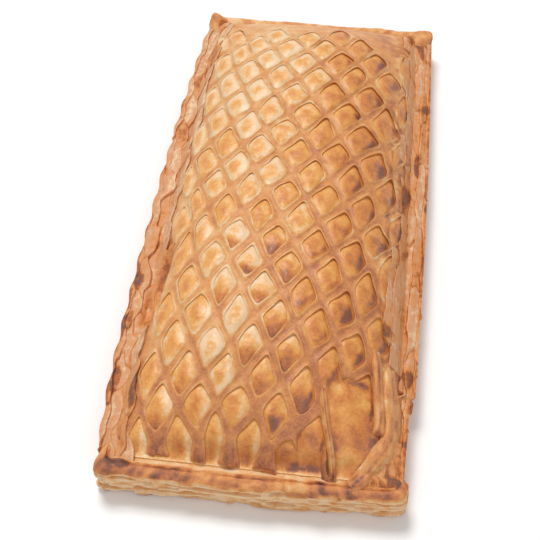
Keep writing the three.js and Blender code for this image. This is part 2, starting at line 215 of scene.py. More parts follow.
# Draws for single windows, all from one seed
SEED = 41
DRAW_REACH = 30
DRAWS = np.random.default_rng(SEED).uniform(-1, 1, (2 * DRAW_REACH, 2 * DRAW_REACH, 8))


class PastrySizes(bpy.types.PropertyGroup):
    """Sizes of the pastry that a baker would change"""
    strand_thickness: FloatProperty(
        name="Strand thickness", description="Thickness of the lattice sheet",
        default=1.4 * MM, unit="LENGTH")
    window_share: FloatProperty(
        name="Window share", description="Part of a lattice cell that its window takes",
        default=0.78, min=0.3, max=0.95, subtype="FACTOR")
    side_rounding: FloatProperty(
        name="Side rounding", description="How sharp the left and right window corners are",
        default=4.8, min=2.0, max=30.0)
    tip_rounding: FloatProperty(
        name="Tip rounding", description="How sharp the near and far window corners are",
        default=7.0, min=2.0, max=30.0)
    shallow_sink: FloatProperty(
        name="Shallow sink", description="Depth of the filling's edge in the palest windows",
        default=0.12 * MM, unit="LENGTH")
    deep_sink: FloatProperty(
        name="Deep sink", description="Depth of the filling's edge in the darkest windows",
        default=0.5 * MM, unit="LENGTH")
    puff: FloatProperty(
        name="Puff", description="Rise of the filling in the middle of a window",
        default=0.55 * MM, unit="LENGTH")
    rim_height: FloatProperty(
        name="Rim height", description="Height of the base sheet's rim",
        default=8.3 * MM, unit="LENGTH")
    layers: IntProperty(
        name="Layers", description="Leaves of dough that show in the side of the base sheet",
        default=7, min=3, max=12)


class PastryColours(bpy.types.PropertyGroup):
    """Colours of dough and cheese from unbaked to burnt"""
    cream: FloatVectorProperty(
        name="Cream", description="Dough that took no colour",
        default=(0.84, 0.58, 0.35), subtype="COLOR", min=0, max=1)
    straw: FloatVectorProperty(
        name="Straw", description="Lightly baked dough",
        default=(0.76, 0.40, 0.148), subtype="COLOR", min=0, max=1)
    rosy: FloatVectorProperty(
        name="Rosy", description="Flaky dough in the sides",
        default=(0.68, 0.345, 0.18), subtype="COLOR", min=0, max=1)
    golden: FloatVectorProperty(
        name="Golden", description="Well baked dough",
        default=(0.70, 0.29, 0.094), subtype="COLOR", min=0, max=1)
    brown: FloatVectorProperty(
        name="Brown", description="Dark baked dough",
        default=(0.47, 0.165, 0.07), subtype="COLOR", min=0, max=1)
    amber: FloatVectorProperty(
        # Amber also paints the shade deep in the hollow under the gap at the left
        name="Amber", description="Cracks and hollows in the flaky sides",
        default=(0.44, 0.13, 0.03), subtype="COLOR", min=0, max=1)
    burnt: FloatVectorProperty(
        name="Burnt", description="Scorched dough",
        default=(0.20, 0.085, 0.055), subtype="COLOR", min=0, max=1)
    pale_cheese: FloatVectorProperty(
        name="Pale cheese", description="Filling beside the strands",
        default=(0.88, 0.63, 0.39), subtype="COLOR", min=0, max=1)
    yellow_cheese: FloatVectorProperty(
        name="Yellow cheese", description="Filling that took a little colour",
        default=(0.82, 0.40, 0.105), subtype="COLOR", min=0, max=1)
    toasted_cheese: FloatVectorProperty(
        name="Toasted cheese", description="Filling that browned",
        default=(0.66, 0.23, 0.06), subtype="COLOR", min=0, max=1)
    dark_cheese: FloatVectorProperty(
        name="Dark cheese", description="Filling that went dark brown",
        default=(0.35, 0.125, 0.065), subtype="COLOR", min=0, max=1)
    burnt_cheese: FloatVectorProperty(
        name="Burnt cheese", description="Filling that scorched",
        default=(0.23, 0.09, 0.055), subtype="COLOR", min=0, max=1)
    floor: FloatVectorProperty(
        name="Floor", description="Studio floor",
        default=(0.98, 0.98, 0.98), subtype="COLOR", min=0, max=1)


class PastryStage(bpy.types.PropertyGroup):
    """Camera and light of the studio"""
    azimuth: FloatProperty(
        name="Azimuth", description="Turn of the camera round the pastry from its near end",
        default=math.radians(6.97), subtype="ANGLE")
    elevation: FloatProperty(
        name="Elevation", description="Height angle of the camera",
        default=math.radians(50.3), subtype="ANGLE")
    distance: FloatProperty(
        name="Distance", description="Distance of the camera from the point it looks at",
        default=256.25 * MM, unit="LENGTH")
    target: FloatVectorProperty(
        name="Target", description="Point that the camera looks at",
        default=(-2.245 * MM, -21.556 * MM, 10.0 * MM), subtype="XYZ", unit="LENGTH")
    lens: FloatProperty(
        name="Lens", description="Focal length in millimetres on a 36 mm sensor", default=68.09)
    key_power: FloatProperty(
        name="Key power", description="Power of the large light above the far left", default=44.0,
        unit="POWER")
    fill_power: FloatProperty(
        name="Fill power", description="Power of the light above the near right", default=13.0,
        unit="POWER")
    sky: FloatProperty(
        name="Sky", description="Strength of the even light from all round", default=0.36)


def smoothstep(value, low, high):
    share = np.clip((value - low) / (high - low), 0, 1)
    return share * share * (3 - 2 * share)


def bump_at(x, y, centre, reach):
    """A soft round bump, 1 at its centre and near 0 past its reach."""
    across = (x - centre[0]) / reach[0]
    along = (y - centre[1]) / reach[1]
    return np.exp(-(across * across + along * along))


def ripple(points, size, seed):
    """Smooth noise from about -1 to 1 with swells of the given size."""
    shift = Vector((seed * 17.31, seed * 9.17, seed * 5.73))
    return np.array([noise.noise(Vector(point) / size + shift) for point in points])


def dome_share(x, y):
    across = 1 - (np.abs(x - DOME_AXIS) / DOME_HALF_WIDTH) ** ACROSS_POWER
    near = 1 - (np.abs(y) / DOME_FRONT) ** FRONT_POWER
    far = 1 - (np.abs(y) / DOME_FAR) ** FAR_POWER
    along = np.where(y < 0, near, far)
    share = across * along
    share = np.where((across < 0) & (along < 0), -share, share)
    return np.maximum(share, -FOOT_DROP_SHARE)


def pocket_place(x, y):
    """Place across the gap at the left, where the lid came away from the rim, and the gap's fading
    towards its two ends."""
    across = x - POCKET_X - POCKET_LEAN * (y - POCKET_Y)
    return across, np.exp(-((y - POCKET_Y) / POCKET_HALF_LENGTH) ** 4)


def dome_height(x, y):
    """Top of the unbroken sheet: a dome whose foot turns down behind the rim."""
    to_side = DOME_HALF_WIDTH - np.abs(x - DOME_AXIS)
    foot = FOOT_SINK * (1 - smoothstep(to_side, -0.5, FOOT_REACH))
    foot = np.maximum(foot, FAR_SINK * (1 - smoothstep(DOME_FAR - y, -0.5, FOOT_REACH)))
    tuck = FRONT_TUCK * (1 - smoothstep(DOME_FRONT + y, -0.5, TUCK_REACH))
    return LID_EDGE_TOP + DOME_RISE * dome_share(x, y) - np.maximum(foot, tuck)


def lid_height(x, y):
    """Top of the lattice sheet, sunk under the gap at the left."""
    across, fading = pocket_place(x, y)
    sunk = dome_height(x, y) - POCKET_SINK * fading * (1 - smoothstep(across, -0.2, POCKET_BRINK))
    return np.maximum(sunk, np.minimum(dome_height(x, y), BED_HEIGHT + BED_CLEARANCE_IN_POCKET))


def lattice_place(column, row):
    """Place of a lattice point seen from above."""
    u = column / COLUMN_SPAN
    v = row / ROW_SPAN
    x = LATTICE_X + COLUMN_PITCH * column + COLUMN_LEAN * v + COLUMN_FAN * u * v
    x = x + COLUMN_PINCH * u * v * v + SIDE_DRIFT * u * u + SIDE_SQUEEZE * u ** 3
    y = LATTICE_Y - ROW_PITCH * row + ROW_TILT * u + ROW_SHEAR * u * v + ROW_SWEEP * u ** 3
    y = y + (ROW_BOW + BOW_GAIN * v) * u * u + TILT_GAIN * u * v * v + ROW_STRETCH * v ** 3
    y = y - END_DRAW * np.maximum(row - END_ROW, 0) ** END_POWER
    for at_column, at_row, wide, long, shift_x, shift_y in PULLS:
        weight = np.exp(-((column - at_column) / wide) ** 2 - ((row - at_row) / long) ** 2)
        x = x + shift_x * weight
        y = y + shift_y * weight
    return x, y


def tear_reach(x, y, tear):
    """How far out a place lies in a torn opening: below 1 inside it, 1 on its edge."""
    place, half_width, half_length, slant, lean = tear
    across = (x - place[0] + lean * (y - place[1])) / half_width
    along = (y - place[1] - slant * (x - place[0])) / half_length
    return (np.abs(across) ** TEAR_ROUNDING + np.abs(along) ** TEAR_ROUNDING) ** (1 / TEAR_ROUNDING)


def torn_reach(x, y):
    """The same for the nearer of the torn openings."""
    return np.minimum(*(tear_reach(x, y, tear) for tear in TEARS))


def window_opening(x):
    return 1 - smoothstep(np.abs(x - DOME_AXIS), OPEN_HALF_WIDTH, CLOSED_HALF_WIDTH)


def cell_draw(column, row, kind):
    """A fixed draw from -1 to 1 for one cell of the lattice."""
    return DRAWS[np.int32(column) + DRAW_REACH, np.int32(row) + DRAW_REACH, kind]


def has_window(column, row):
    x, y = lattice_place(column, row)
    far = lattice_place(column, row - 1)[1]
    return (abs(x - DOME_AXIS) < DOME_HALF_WIDTH - SIDE_MARGIN
            and far < DOME_FAR - FAR_MARGIN
            and y > FRONT_MARGIN - DOME_FRONT
            and window_opening(x) > NARROWEST_OPENING)


def on_lid(column, row):
    x, y = lattice_place(column, row)
    return (abs(x - DOME_AXIS) < DOME_HALF_WIDTH + SPARE_COLUMNS * COLUMN_PITCH
            and -DOME_FRONT - SPARE_ROWS * ROW_PITCH < y < DOME_FAR + SPARE_ROWS * ROW_PITCH)


# Where the oven browned the top less or more than around it: place, reach and gain
OVEN_SPOTS = (
    ((-7, 42), (17, 27), -0.5),
    ((-3, 8), (10, 3.5), 0.1),
    ((-4, -3), (5, 5), -0.25),
    ((-13, 1), (4, 4), -0.2),
    ((-9.5, -21), (3.5, 4), -0.28),
    ((-8, -46), (5, 14), -0.2),
    ((-11.5, -53), (3.5, 4), -0.22),
    ((-1.3, -23), (3.5, 4), 0.2),
    ((0.5, -58), (4, 5), 0.2),
    ((22, 9.5), (4.5, 5), 0.12),
    ((20, 34), (5, 5), 0.1),
    ((4, 45), (6, 22), 0.14),
    ((4, -18), (4, 5), -0.15),
    ((9.5, -9.6), (4, 5), -0.3),
)


def toast(x, y):
    """How strongly the oven browned the top: weak at the far left, strong at the near right."""
    field = 0.46 + 0.4 * smoothstep(x, -2, 17) + 0.06 * smoothstep(-y, 55, 70)
    field = field - 0.1 * smoothstep(-x, 0, 12) * smoothstep(y, -60, -45)
    for spot, reach, gain in OVEN_SPOTS:
        field = field + gain * bump_at(x, y, spot, reach)
    return np.clip(field, 0, 1)


def deselect_all():
    if bpy.context.mode != "OBJECT":
        bpy.ops.object.mode_set(mode="OBJECT")
    bpy.ops.object.select_all(action="DESELECT")


def named(name):
    """Names the primitive that was just added."""
    piece = bpy.context.active_object
    piece.name = name
    piece.data.name = name
    return piece


def flat_grid(name, across, along, size):
    """A flat square grid with so many faces each way."""
    deselect_all()
    bpy.ops.mesh.primitive_grid_add(x_subdivisions=across, y_subdivisions=along, size=size)
    return named(name)


def edit(piece, kind):
    """Enters edit mode on one piece with nothing selected, picking points, edges or faces."""
    bpy.context.view_layer.objects.active = piece
    picks = {"VERT": (True, False, False), "EDGE": (False, True, False), "FACE": (False, False, True)}
    bpy.context.tool_settings.mesh_select_mode = picks[kind]
    bpy.ops.object.mode_set(mode="EDIT")
    bpy.ops.mesh.select_all(action="DESELECT")


def edit_all(piece):
    """Enters edit mode on one piece with all its faces selected."""
    edit(piece, "FACE")
    bpy.ops.mesh.select_all(action="SELECT")


def leave_edit():
    bpy.ops.object.mode_set(mode="OBJECT")


def edit_again(piece, kind):
    leave_edit()
    edit(piece, kind)


def pick(piece, elements, wanted):
    """Selects the points, edges or faces for which wanted is true."""
    mesh = bmesh.from_edit_mesh(piece.data)
    for element in getattr(mesh, elements):
        element.select_set(bool(wanted(element)))
    mesh.select_flush_mode()
    bmesh.update_edit_mesh(piece.data)


def points_of(piece):
    points = np.zeros(len(piece.data.vertices) * 3)
    piece.data.vertices.foreach_get("co", points)
    return points.reshape(-1, 3)


def put_points(piece, points):
    piece.data.vertices.foreach_set("co", np.ascontiguousarray(points).ravel())
    piece.data.update()


def read_attribute(piece, name):
    layer = piece.data.attributes[name]
    kind = np.int32 if layer.data_type == "INT" else np.float32
    values = np.zeros(len(layer.data), kind)
    layer.data.foreach_get("value", values)
    return values


def write_attribute(piece, name, values):
    layer = piece.data.attributes.get(name)
    if layer is None:
        layer = piece.data.attributes.new(name, "FLOAT", "POINT")
    layer.data.foreach_set("value", np.asarray(values, np.float32))


def apply_modifier(piece, name, kind, **values):
    bpy.context.view_layer.objects.active = piece
    modifier = piece.modifiers.new(name, kind)
    for key, value in values.items():
        setattr(modifier, key, value)
    bpy.ops.object.modifier_apply(modifier=name)


def trim(piece, side_gap, front_lap, closed):
    """Cuts away what lies past the lid's four sides; a closed piece is closed again at the cuts."""
    for place, direction in (
            ((LID_LOW[0] + side_gap, 0), (-1, 0)),
            ((LID_HIGH[0] - side_gap, 0), (1, 0)),
            ((0, LID_FRONT - front_lap), (0, -1)),
            ((0, LID_HIGH[1] - side_gap), (0, 1))):
        edit_all(piece)
        bpy.ops.mesh.bisect(plane_co=(place[0] * MM, place[1] * MM, 0), plane_no=(*direction, 0),
                            use_fill=closed, clear_outer=True)
        leave_edit()


def face_outward(piece):
    edit_all(piece)
    bpy.ops.mesh.normals_make_consistent(inside=False)
    leave_edit()


def finish_piece(piece, node, material, smooth_angle):
    deselect_all()
    piece.select_set(True)
    bpy.context.view_layer.objects.active = piece
    bpy.ops.object.shade_smooth_by_angle(angle=math.radians(smooth_angle))
    piece.data.materials.clear()
    piece.data.materials.append(material)
    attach(piece, "root")
    if node:
        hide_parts(node)
    deselect_all()


def cell_of(points):
    """Cell of each grid point: its column and row, and the point's place in it across and along."""
    first = np.round(points[:, 0])
    second = np.round(points[:, 1])
    inner_first = points[:, 0] - first
    inner_second = points[:, 1] - second
    return (first + second, second - first, inner_first + inner_second, inner_second - inner_first)


def lattice_grid(name, insets):
    """A flat grid of lattice cells with insets inside each window cell; a cell is one unit wide."""
    cuts = GRID_CELLS * SIDE_CUTS
    piece = flat_grid(name, cuts, cuts, GRID_CELLS)
    reach = range(-(GRID_CELLS // 2), GRID_CELLS // 2 + 1)
    kept = {(i, j) for i in reach for j in reach if on_lid(i + j, j - i)}
    open_cells = {(i, j) for i, j in kept if has_window(i + j, j - i)}
    edit(piece, "FACE")

    def off_lid(face):
        middle = face.calc_center_median()
        return (round(middle.x), round(middle.y)) not in kept

    pick(piece, "faces", off_lid)
    bpy.ops.mesh.delete(type="FACE")
    edit_again(piece, "VERT")
    rim = 0.5 - 0.4 / SIDE_CUTS

    def inside_window(point):
        i, j = round(point.co.x), round(point.co.y)
        inner = max(abs(point.co.x - i), abs(point.co.y - j))
        return inner < rim and (i, j) in open_cells

    pick(piece, "verts", inside_window)
    bpy.ops.mesh.dissolve_verts()
    edit_again(piece, "FACE")
    sides = 4 * SIDE_CUTS
    mesh = bmesh.from_edit_mesh(piece.data)
    mesh.verts.layers.int.new("ring")
    bmesh.update_edit_mesh(piece.data)
    for count in range(1, insets + 1):
        pick(piece, "faces", lambda face: len(face.verts) == sides)
        bpy.ops.mesh.inset(thickness=CELL_INSET, use_individual=True)
        mesh = bmesh.from_edit_mesh(piece.data)
        ring = mesh.verts.layers.int["ring"]
        for face in mesh.faces:
            if len(face.verts) == sides:
                for point in face.verts:
                    point[ring] = count
        bmesh.update_edit_mesh(piece.data)
    pick(piece, "faces", lambda face: len(face.verts) == sides)
    return piece


def window_edge(column, row, across, along, sizes):
    """Point of a cell's window edge in the direction of an inner point, in cell units."""
    share = sizes.window_share * (1 + SIZE_DRAW * cell_draw(column, row, 0))
    place = lattice_place(column, row)
    share *= 1 - NEAR_NARROWING * smoothstep(-place[1], 10, 60)
    share *= 1 - MIDDLE_SHRINK * bump_at(*place, *MIDDLE_WINDOWS)
    round_it = np.arctan2(along, across)
    share *= 1 + OVAL_DRAW * np.cos(2 * round_it + math.pi * cell_draw(column, row, 5))
    share *= 1 + EGG_DRAW * np.cos(3 * round_it + math.pi * cell_draw(column, row, 6))
    share = min(share, WIDEST_WINDOW)
    turn = TURN_DRAW * cell_draw(column, row, 1)
    lean = across * math.cos(turn) - along * math.sin(turn)
    rise = across * math.sin(turn) + along * math.cos(turn)
    tip = np.abs(rise) / (np.abs(lean) + np.abs(rise) + 1e-9)
    sharp = sizes.side_rounding + (sizes.tip_rounding - sizes.side_rounding) * tip
    first = np.abs(lean + rise)
    second = np.abs(lean - rise)
    size = (first ** sharp + second ** sharp) ** (1 / sharp)
    narrow = 1 - MIDDLE_NARROWING * bump_at(*place, *MIDDLE_WINDOWS)
    return across * narrow * share / size, along * share / size


def lattice_lines(piece, edge_ring, shares, sizes):
    """Place of each grid point from above after the windows take their outline, and its ring."""
    points = points_of(piece)
    ring = read_attribute(piece, "ring")
    column, row, across, along = cell_of(points)
    x, y = lattice_place(points[:, 0] + points[:, 1], points[:, 1] - points[:, 0])
    for index in np.nonzero(ring)[0]:
        c, r = column[index], row[index]
        a, b = across[index], along[index]
        cell_x = lattice_place(c, r)[0]
        off_a = SHIFT_DRAW * cell_draw(c, r, 2) + RIGHT_SHIFT * smoothstep(cell_x, 4, 15)
        off_b = SHIFT_DRAW * cell_draw(c, r, 3)
        middle = np.array(lattice_place(c + off_a, r + off_b))
        reach = abs(a) + abs(b)
        if reach < 1e-6:
            x[index], y[index] = middle
            continue
        edge_a, edge_b = window_edge(c, r, a, b, sizes)
        edge_a *= window_opening(cell_x)
        edge = np.array(lattice_place(c + edge_a + off_a, r + edge_b + off_b))
        start = middle
        if ring[index] <= edge_ring:
            start = np.array(lattice_place(c + a / reach, r + b / reach))
        x[index], y[index] = start + (edge - start) * shares[ring[index]]
    return x, y, ring


# Nodes of the materials
def add_node(tree, kind, place, **inputs):
    node = tree.nodes.new(kind)
    node.location = place
    for key, value in inputs.items():
        node.inputs[key.replace("_", " ")].default_value = value
    return node


def noise_node(tree, coordinates, place, size, detail, roughness=0.55):
    node = add_node(tree, "ShaderNodeTexNoise", place, Scale=1 / (size * MM), Detail=detail,
                    Roughness=roughness)
    tree.links.new(coordinates, node.inputs["Vector"])
    return node.outputs["Fac"]


def math_node(tree, operation, place, *values):
    node = tree.nodes.new("ShaderNodeMath")
    node.operation = operation
    node.location = place
    for socket, value in zip(node.inputs, values):
        if isinstance(value, (int, float)):
            socket.default_value = value
        else:
            tree.links.new(value, socket)
    return node.outputs["Value"]


def centred(tree, value, amount, place):
    """Noise turned into a swing of that amount round zero."""
    return math_node(tree, "MULTIPLY_ADD", place, value, 2 * amount, -amount)


def baked_material(name, colours, places, mottle, grain, bump, roughness, coat):
    """Baked food: an attribute of baking, broken up by mottling and grain, picks the colour. Mottle
    and grain hold the size of the spots and their swing, and bump holds size, strength and height."""
    material = bpy.data.materials.new(name)
    material.use_nodes = True
    tree = material.node_tree
    tree.nodes.clear()
    output = add_node(tree, "ShaderNodeOutputMaterial", (900, 0))
    shader = add_node(tree, "ShaderNodeBsdfPrincipled", (600, 0))
    for key, value in (("Coat Weight", coat), ("Coat Roughness", 0.35),
                       ("Specular IOR Level", 0.35), ("Subsurface Weight", 0.22),
                       ("Subsurface Radius", (1.0, 0.5, 0.25)), ("Subsurface Scale", 1.6 * MM)):
        shader.inputs[key].default_value = value
    tree.links.new(shader.outputs["BSDF"], output.inputs["Surface"])
    texture = add_node(tree, "ShaderNodeTexCoord", (-1200, 0))
    coordinates = texture.outputs["Object"]
    baked = add_node(tree, "ShaderNodeAttribute", (-900, 300))
    baked.attribute_name = "bake"
    wide = noise_node(tree, coordinates, (-900, 100), mottle[0], 3)
    fine = noise_node(tree, coordinates, (-900, -100), grain[0], 4, 0.65)
    swing = math_node(tree, "ADD", (-500, 0), centred(tree, wide, mottle[1], (-700, 100)),
                      centred(tree, fine, grain[1], (-700, -100)))
    level = math_node(tree, "ADD", (-300, 200), baked.outputs["Fac"], swing)
    ramp = tree.nodes.new("ShaderNodeValToRGB")
    ramp.location = (-100, 200)
    stops = ramp.color_ramp.elements
    for index, (colour, place) in enumerate(zip(colours, places)):
        stop = stops[index] if index < 2 else stops.new(place)
        stop.position = place
        stop.color = (*colour, 1)
    tree.links.new(level, ramp.inputs["Fac"])
    tree.links.new(ramp.outputs["Color"], shader.inputs["Base Color"])
    gloss = add_node(tree, "ShaderNodeMapRange", (200, -100))
    gloss.inputs["To Min"].default_value = roughness[0]
    gloss.inputs["To Max"].default_value = roughness[1]
    tree.links.new(fine, gloss.inputs["Value"])
    tree.links.new(gloss.outputs["Result"], shader.inputs["Roughness"])
    blister = noise_node(tree, coordinates, (-900, -400), bump[0], 5, 0.6)
    relief = add_node(tree, "ShaderNodeBump", (300, -400), Strength=bump[1], Distance=bump[2] * MM)
    tree.links.new(blister, relief.inputs["Height"])
    tree.links.new(relief.outputs["Normal"], shader.inputs["Normal"])
    return material


def lattice_dough(colours):
    """Dough of the lid and of the strands that came loose from it."""
    name = "baked_lattice_dough"
    return bpy.data.materials.get(name) or baked_material(
        name,
        (colours.cream, colours.straw, colours.golden, colours.brown, colours.burnt),
        (0.0, 0.22, 0.45, 0.75, 1.0),
        mottle=(3.0, 0.42), grain=(0.55, 0.3), bump=(0.5, 0.7, 0.2), roughness=(0.38, 0.6),
        coat=0.12)


class PASTRY_OT_lattice_lid(bpy.types.Operator):
    """Cuts the lattice sheet from a grid and stretches it over the dome"""
    bl_idname = "pastry.lattice_lid"
    bl_label = "Lattice lid"

    def execute(self, context):
        sizes = context.scene.pastry_sizes
        piece = lattice_grid("lattice_lid_sheet", len(LID_RINGS) - 1)
        bpy.ops.mesh.delete(type="FACE")
        leave_edit()
        self.stretch(piece, sizes)
        self.tear(piece)
        edit_all(piece)
        bpy.ops.mesh.flip_normals()
        leave_edit()
        apply_modifier(piece, "sheet thickness", "SOLIDIFY", thickness=sizes.strand_thickness,
                       offset=-1)
        apply_modifier(piece, "rounded edges", "SUBSURF", levels=1, render_levels=1)
        trim(piece, 0, 0, True)
        self.crinkle_and_bake(piece)
        material = lattice_dough(context.scene.pastry_colours)
        finish_piece(piece, "lattice_lid", material, SMOOTH_ANGLE)
        return {"FINISHED"}

    def stretch(self, piece, sizes):
        """Lays the flat sheet over the dome, with lips round its windows."""
        points = points_of(piece)
        off_knot = (np.abs(points[:, k] - 0.5 - np.round(points[:, k] - 0.5)) for k in (0, 1))
        knot = 1 - KNOT_SHARPNESS * np.hypot(*off_knot)
        x, y, ring = lattice_lines(piece, len(LID_RINGS) - 1, LID_RINGS, sizes)
        rounded = smoothstep(-y, 56, 68)
        lip = (1 - rounded) * np.array(LIP_HEIGHTS)[ring]
        lip += rounded * np.array(FRONT_LIP_HEIGHTS)[ring]
        z = lid_height(x, y) - LIP_ROOM + lip
        put_points(piece, np.column_stack([x, y, z]) * MM)
        write_attribute(piece, "edge", np.array(LID_RINGS)[ring])
        write_attribute(piece, "knot", np.clip(knot, 0, 1))

    def crinkle_and_bake(self, piece):
        """Gives the sheet its crinkles and flakes, and its tone: pale lips, dark knots and tips."""
        points = points_of(piece) / MM
        x, y = points[:, 0], points[:, 1]
        edge = read_attribute(piece, "edge")
        knot = read_attribute(piece, "knot")
        depth = lid_height(x, y) - 0.15 - points[:, 2]
        swell = ripple(points, 7.0, 1)
        crinkle = ripple(points, 2.2, 2)
        side = smoothstep(x, 22, 27) + 0.35 * smoothstep(-x, 24, 28)
        flaky = ripple(points * (1, 0.09, 1), 1.2, 5) + 0.5 * ripple(points * (1, 0.2, 1), 0.7, 6)
        groove = side * np.exp(-(ripple(points * (1, 0.12, 0.4), 1.0, 8) / 0.08) ** 2)
        points[:, 2] += 0.14 * swell + 0.12 * crinkle + 0.4 * side * flaky - 0.3 * groove
        points[:, 0] += 0.12 * ripple(points, 3.0, 3) + 0.25 * side * flaky * np.sign(x)
        points[:, 1] += 0.12 * ripple(points, 3.0, 4)
        tips = smoothstep(-y, 66, 75.5)
        points[:, 1] -= tips * (0.5 + 0.045 * x - 0.9 * ripple(points * (1, 0, 0), 3.0, 7))
        points[:, 2] = np.minimum(points[:, 2], LID_HIGH[2])
        put_points(piece, points * MM)
        heat = toast(x, y)
        top = 1 - smoothstep(depth, 0.5, 0.9)
        bake = 0.4 + 0.16 * (heat - 0.4) + 0.02 * knot * top + 0.14 * swell
        bake += 0.08 * smoothstep(x, -8, 4)
        bake += 0.16 * smoothstep(-y, 40, 70) - 0.08 * smoothstep(y, 20, 60) + 0.16 * crinkle
        bake += 0.12 * smoothstep(x, 3, 18) * smoothstep(-y, 15, 50)
        bake -= (0.28 + 0.5 * crinkle) * smoothstep(edge, 0.3, 0.75) * (1 - 0.25 * heat)
        bake += (0.2 + 0.5 * crinkle) * tips ** 6
        # The flaky sides vary in tone, and their grooves are darkened as painted shade
        bake += side * (0.5 * flaky - 0.08) + 0.25 * groove
        gap, fading = pocket_place(x, y)
        bake += fading * smoothstep(gap, 0.8, 1.8) * (1 - smoothstep(gap, 3.0, 4.5)) * (0.2 - bake)
        # The gap at the left is painted orange-brown: the dough's colour inside it, deepened as painted
        # shade
        bake += fading * (1 - smoothstep(gap, 0.8, 1.6)) * (0.52 - bake)
        wall = smoothstep(depth, 0.5, 0.9) * smoothstep(edge, 0.9, 1.0)
        bake += wall * (0.26 + 0.14 * heat - bake)
        bake = np.minimum(bake, 0.62 + 0.2 * side + 0.2 * tips ** 6)
        # Painted shade of the small hole beside the loose strands
        bake += 0.8 * bump_at(x, y, HOLE_SHADE_PLACE, HOLE_SHADE_REACH)
        write_attribute(piece, "bake", np.clip(bake, 0, 1))

    def tear(self, piece):
        """Cuts out the openings where windows tore, and smooths their edges."""
        edit(piece, "FACE")

        def inside(face):
            middle = face.calc_center_median() / MM
            return torn_reach(middle.x, middle.y) < 1

        pick(piece, "faces", inside)
        bpy.ops.mesh.delete(type="FACE")
        leave_edit()
        points = points_of(piece) / MM
        for tear in TEARS:
            reach = tear_reach(points[:, 0], points[:, 1], tear)
            away = points[:, :2] - tear[0]
            moved = reach < 1
            points[moved, :2] += away[moved] * (1 / reach[moved] - 1)[:, None]
            points[moved, 2] = lid_height(points[moved, 0], points[moved, 1]) - LIP_ROOM
        put_points(piece, points * MM)


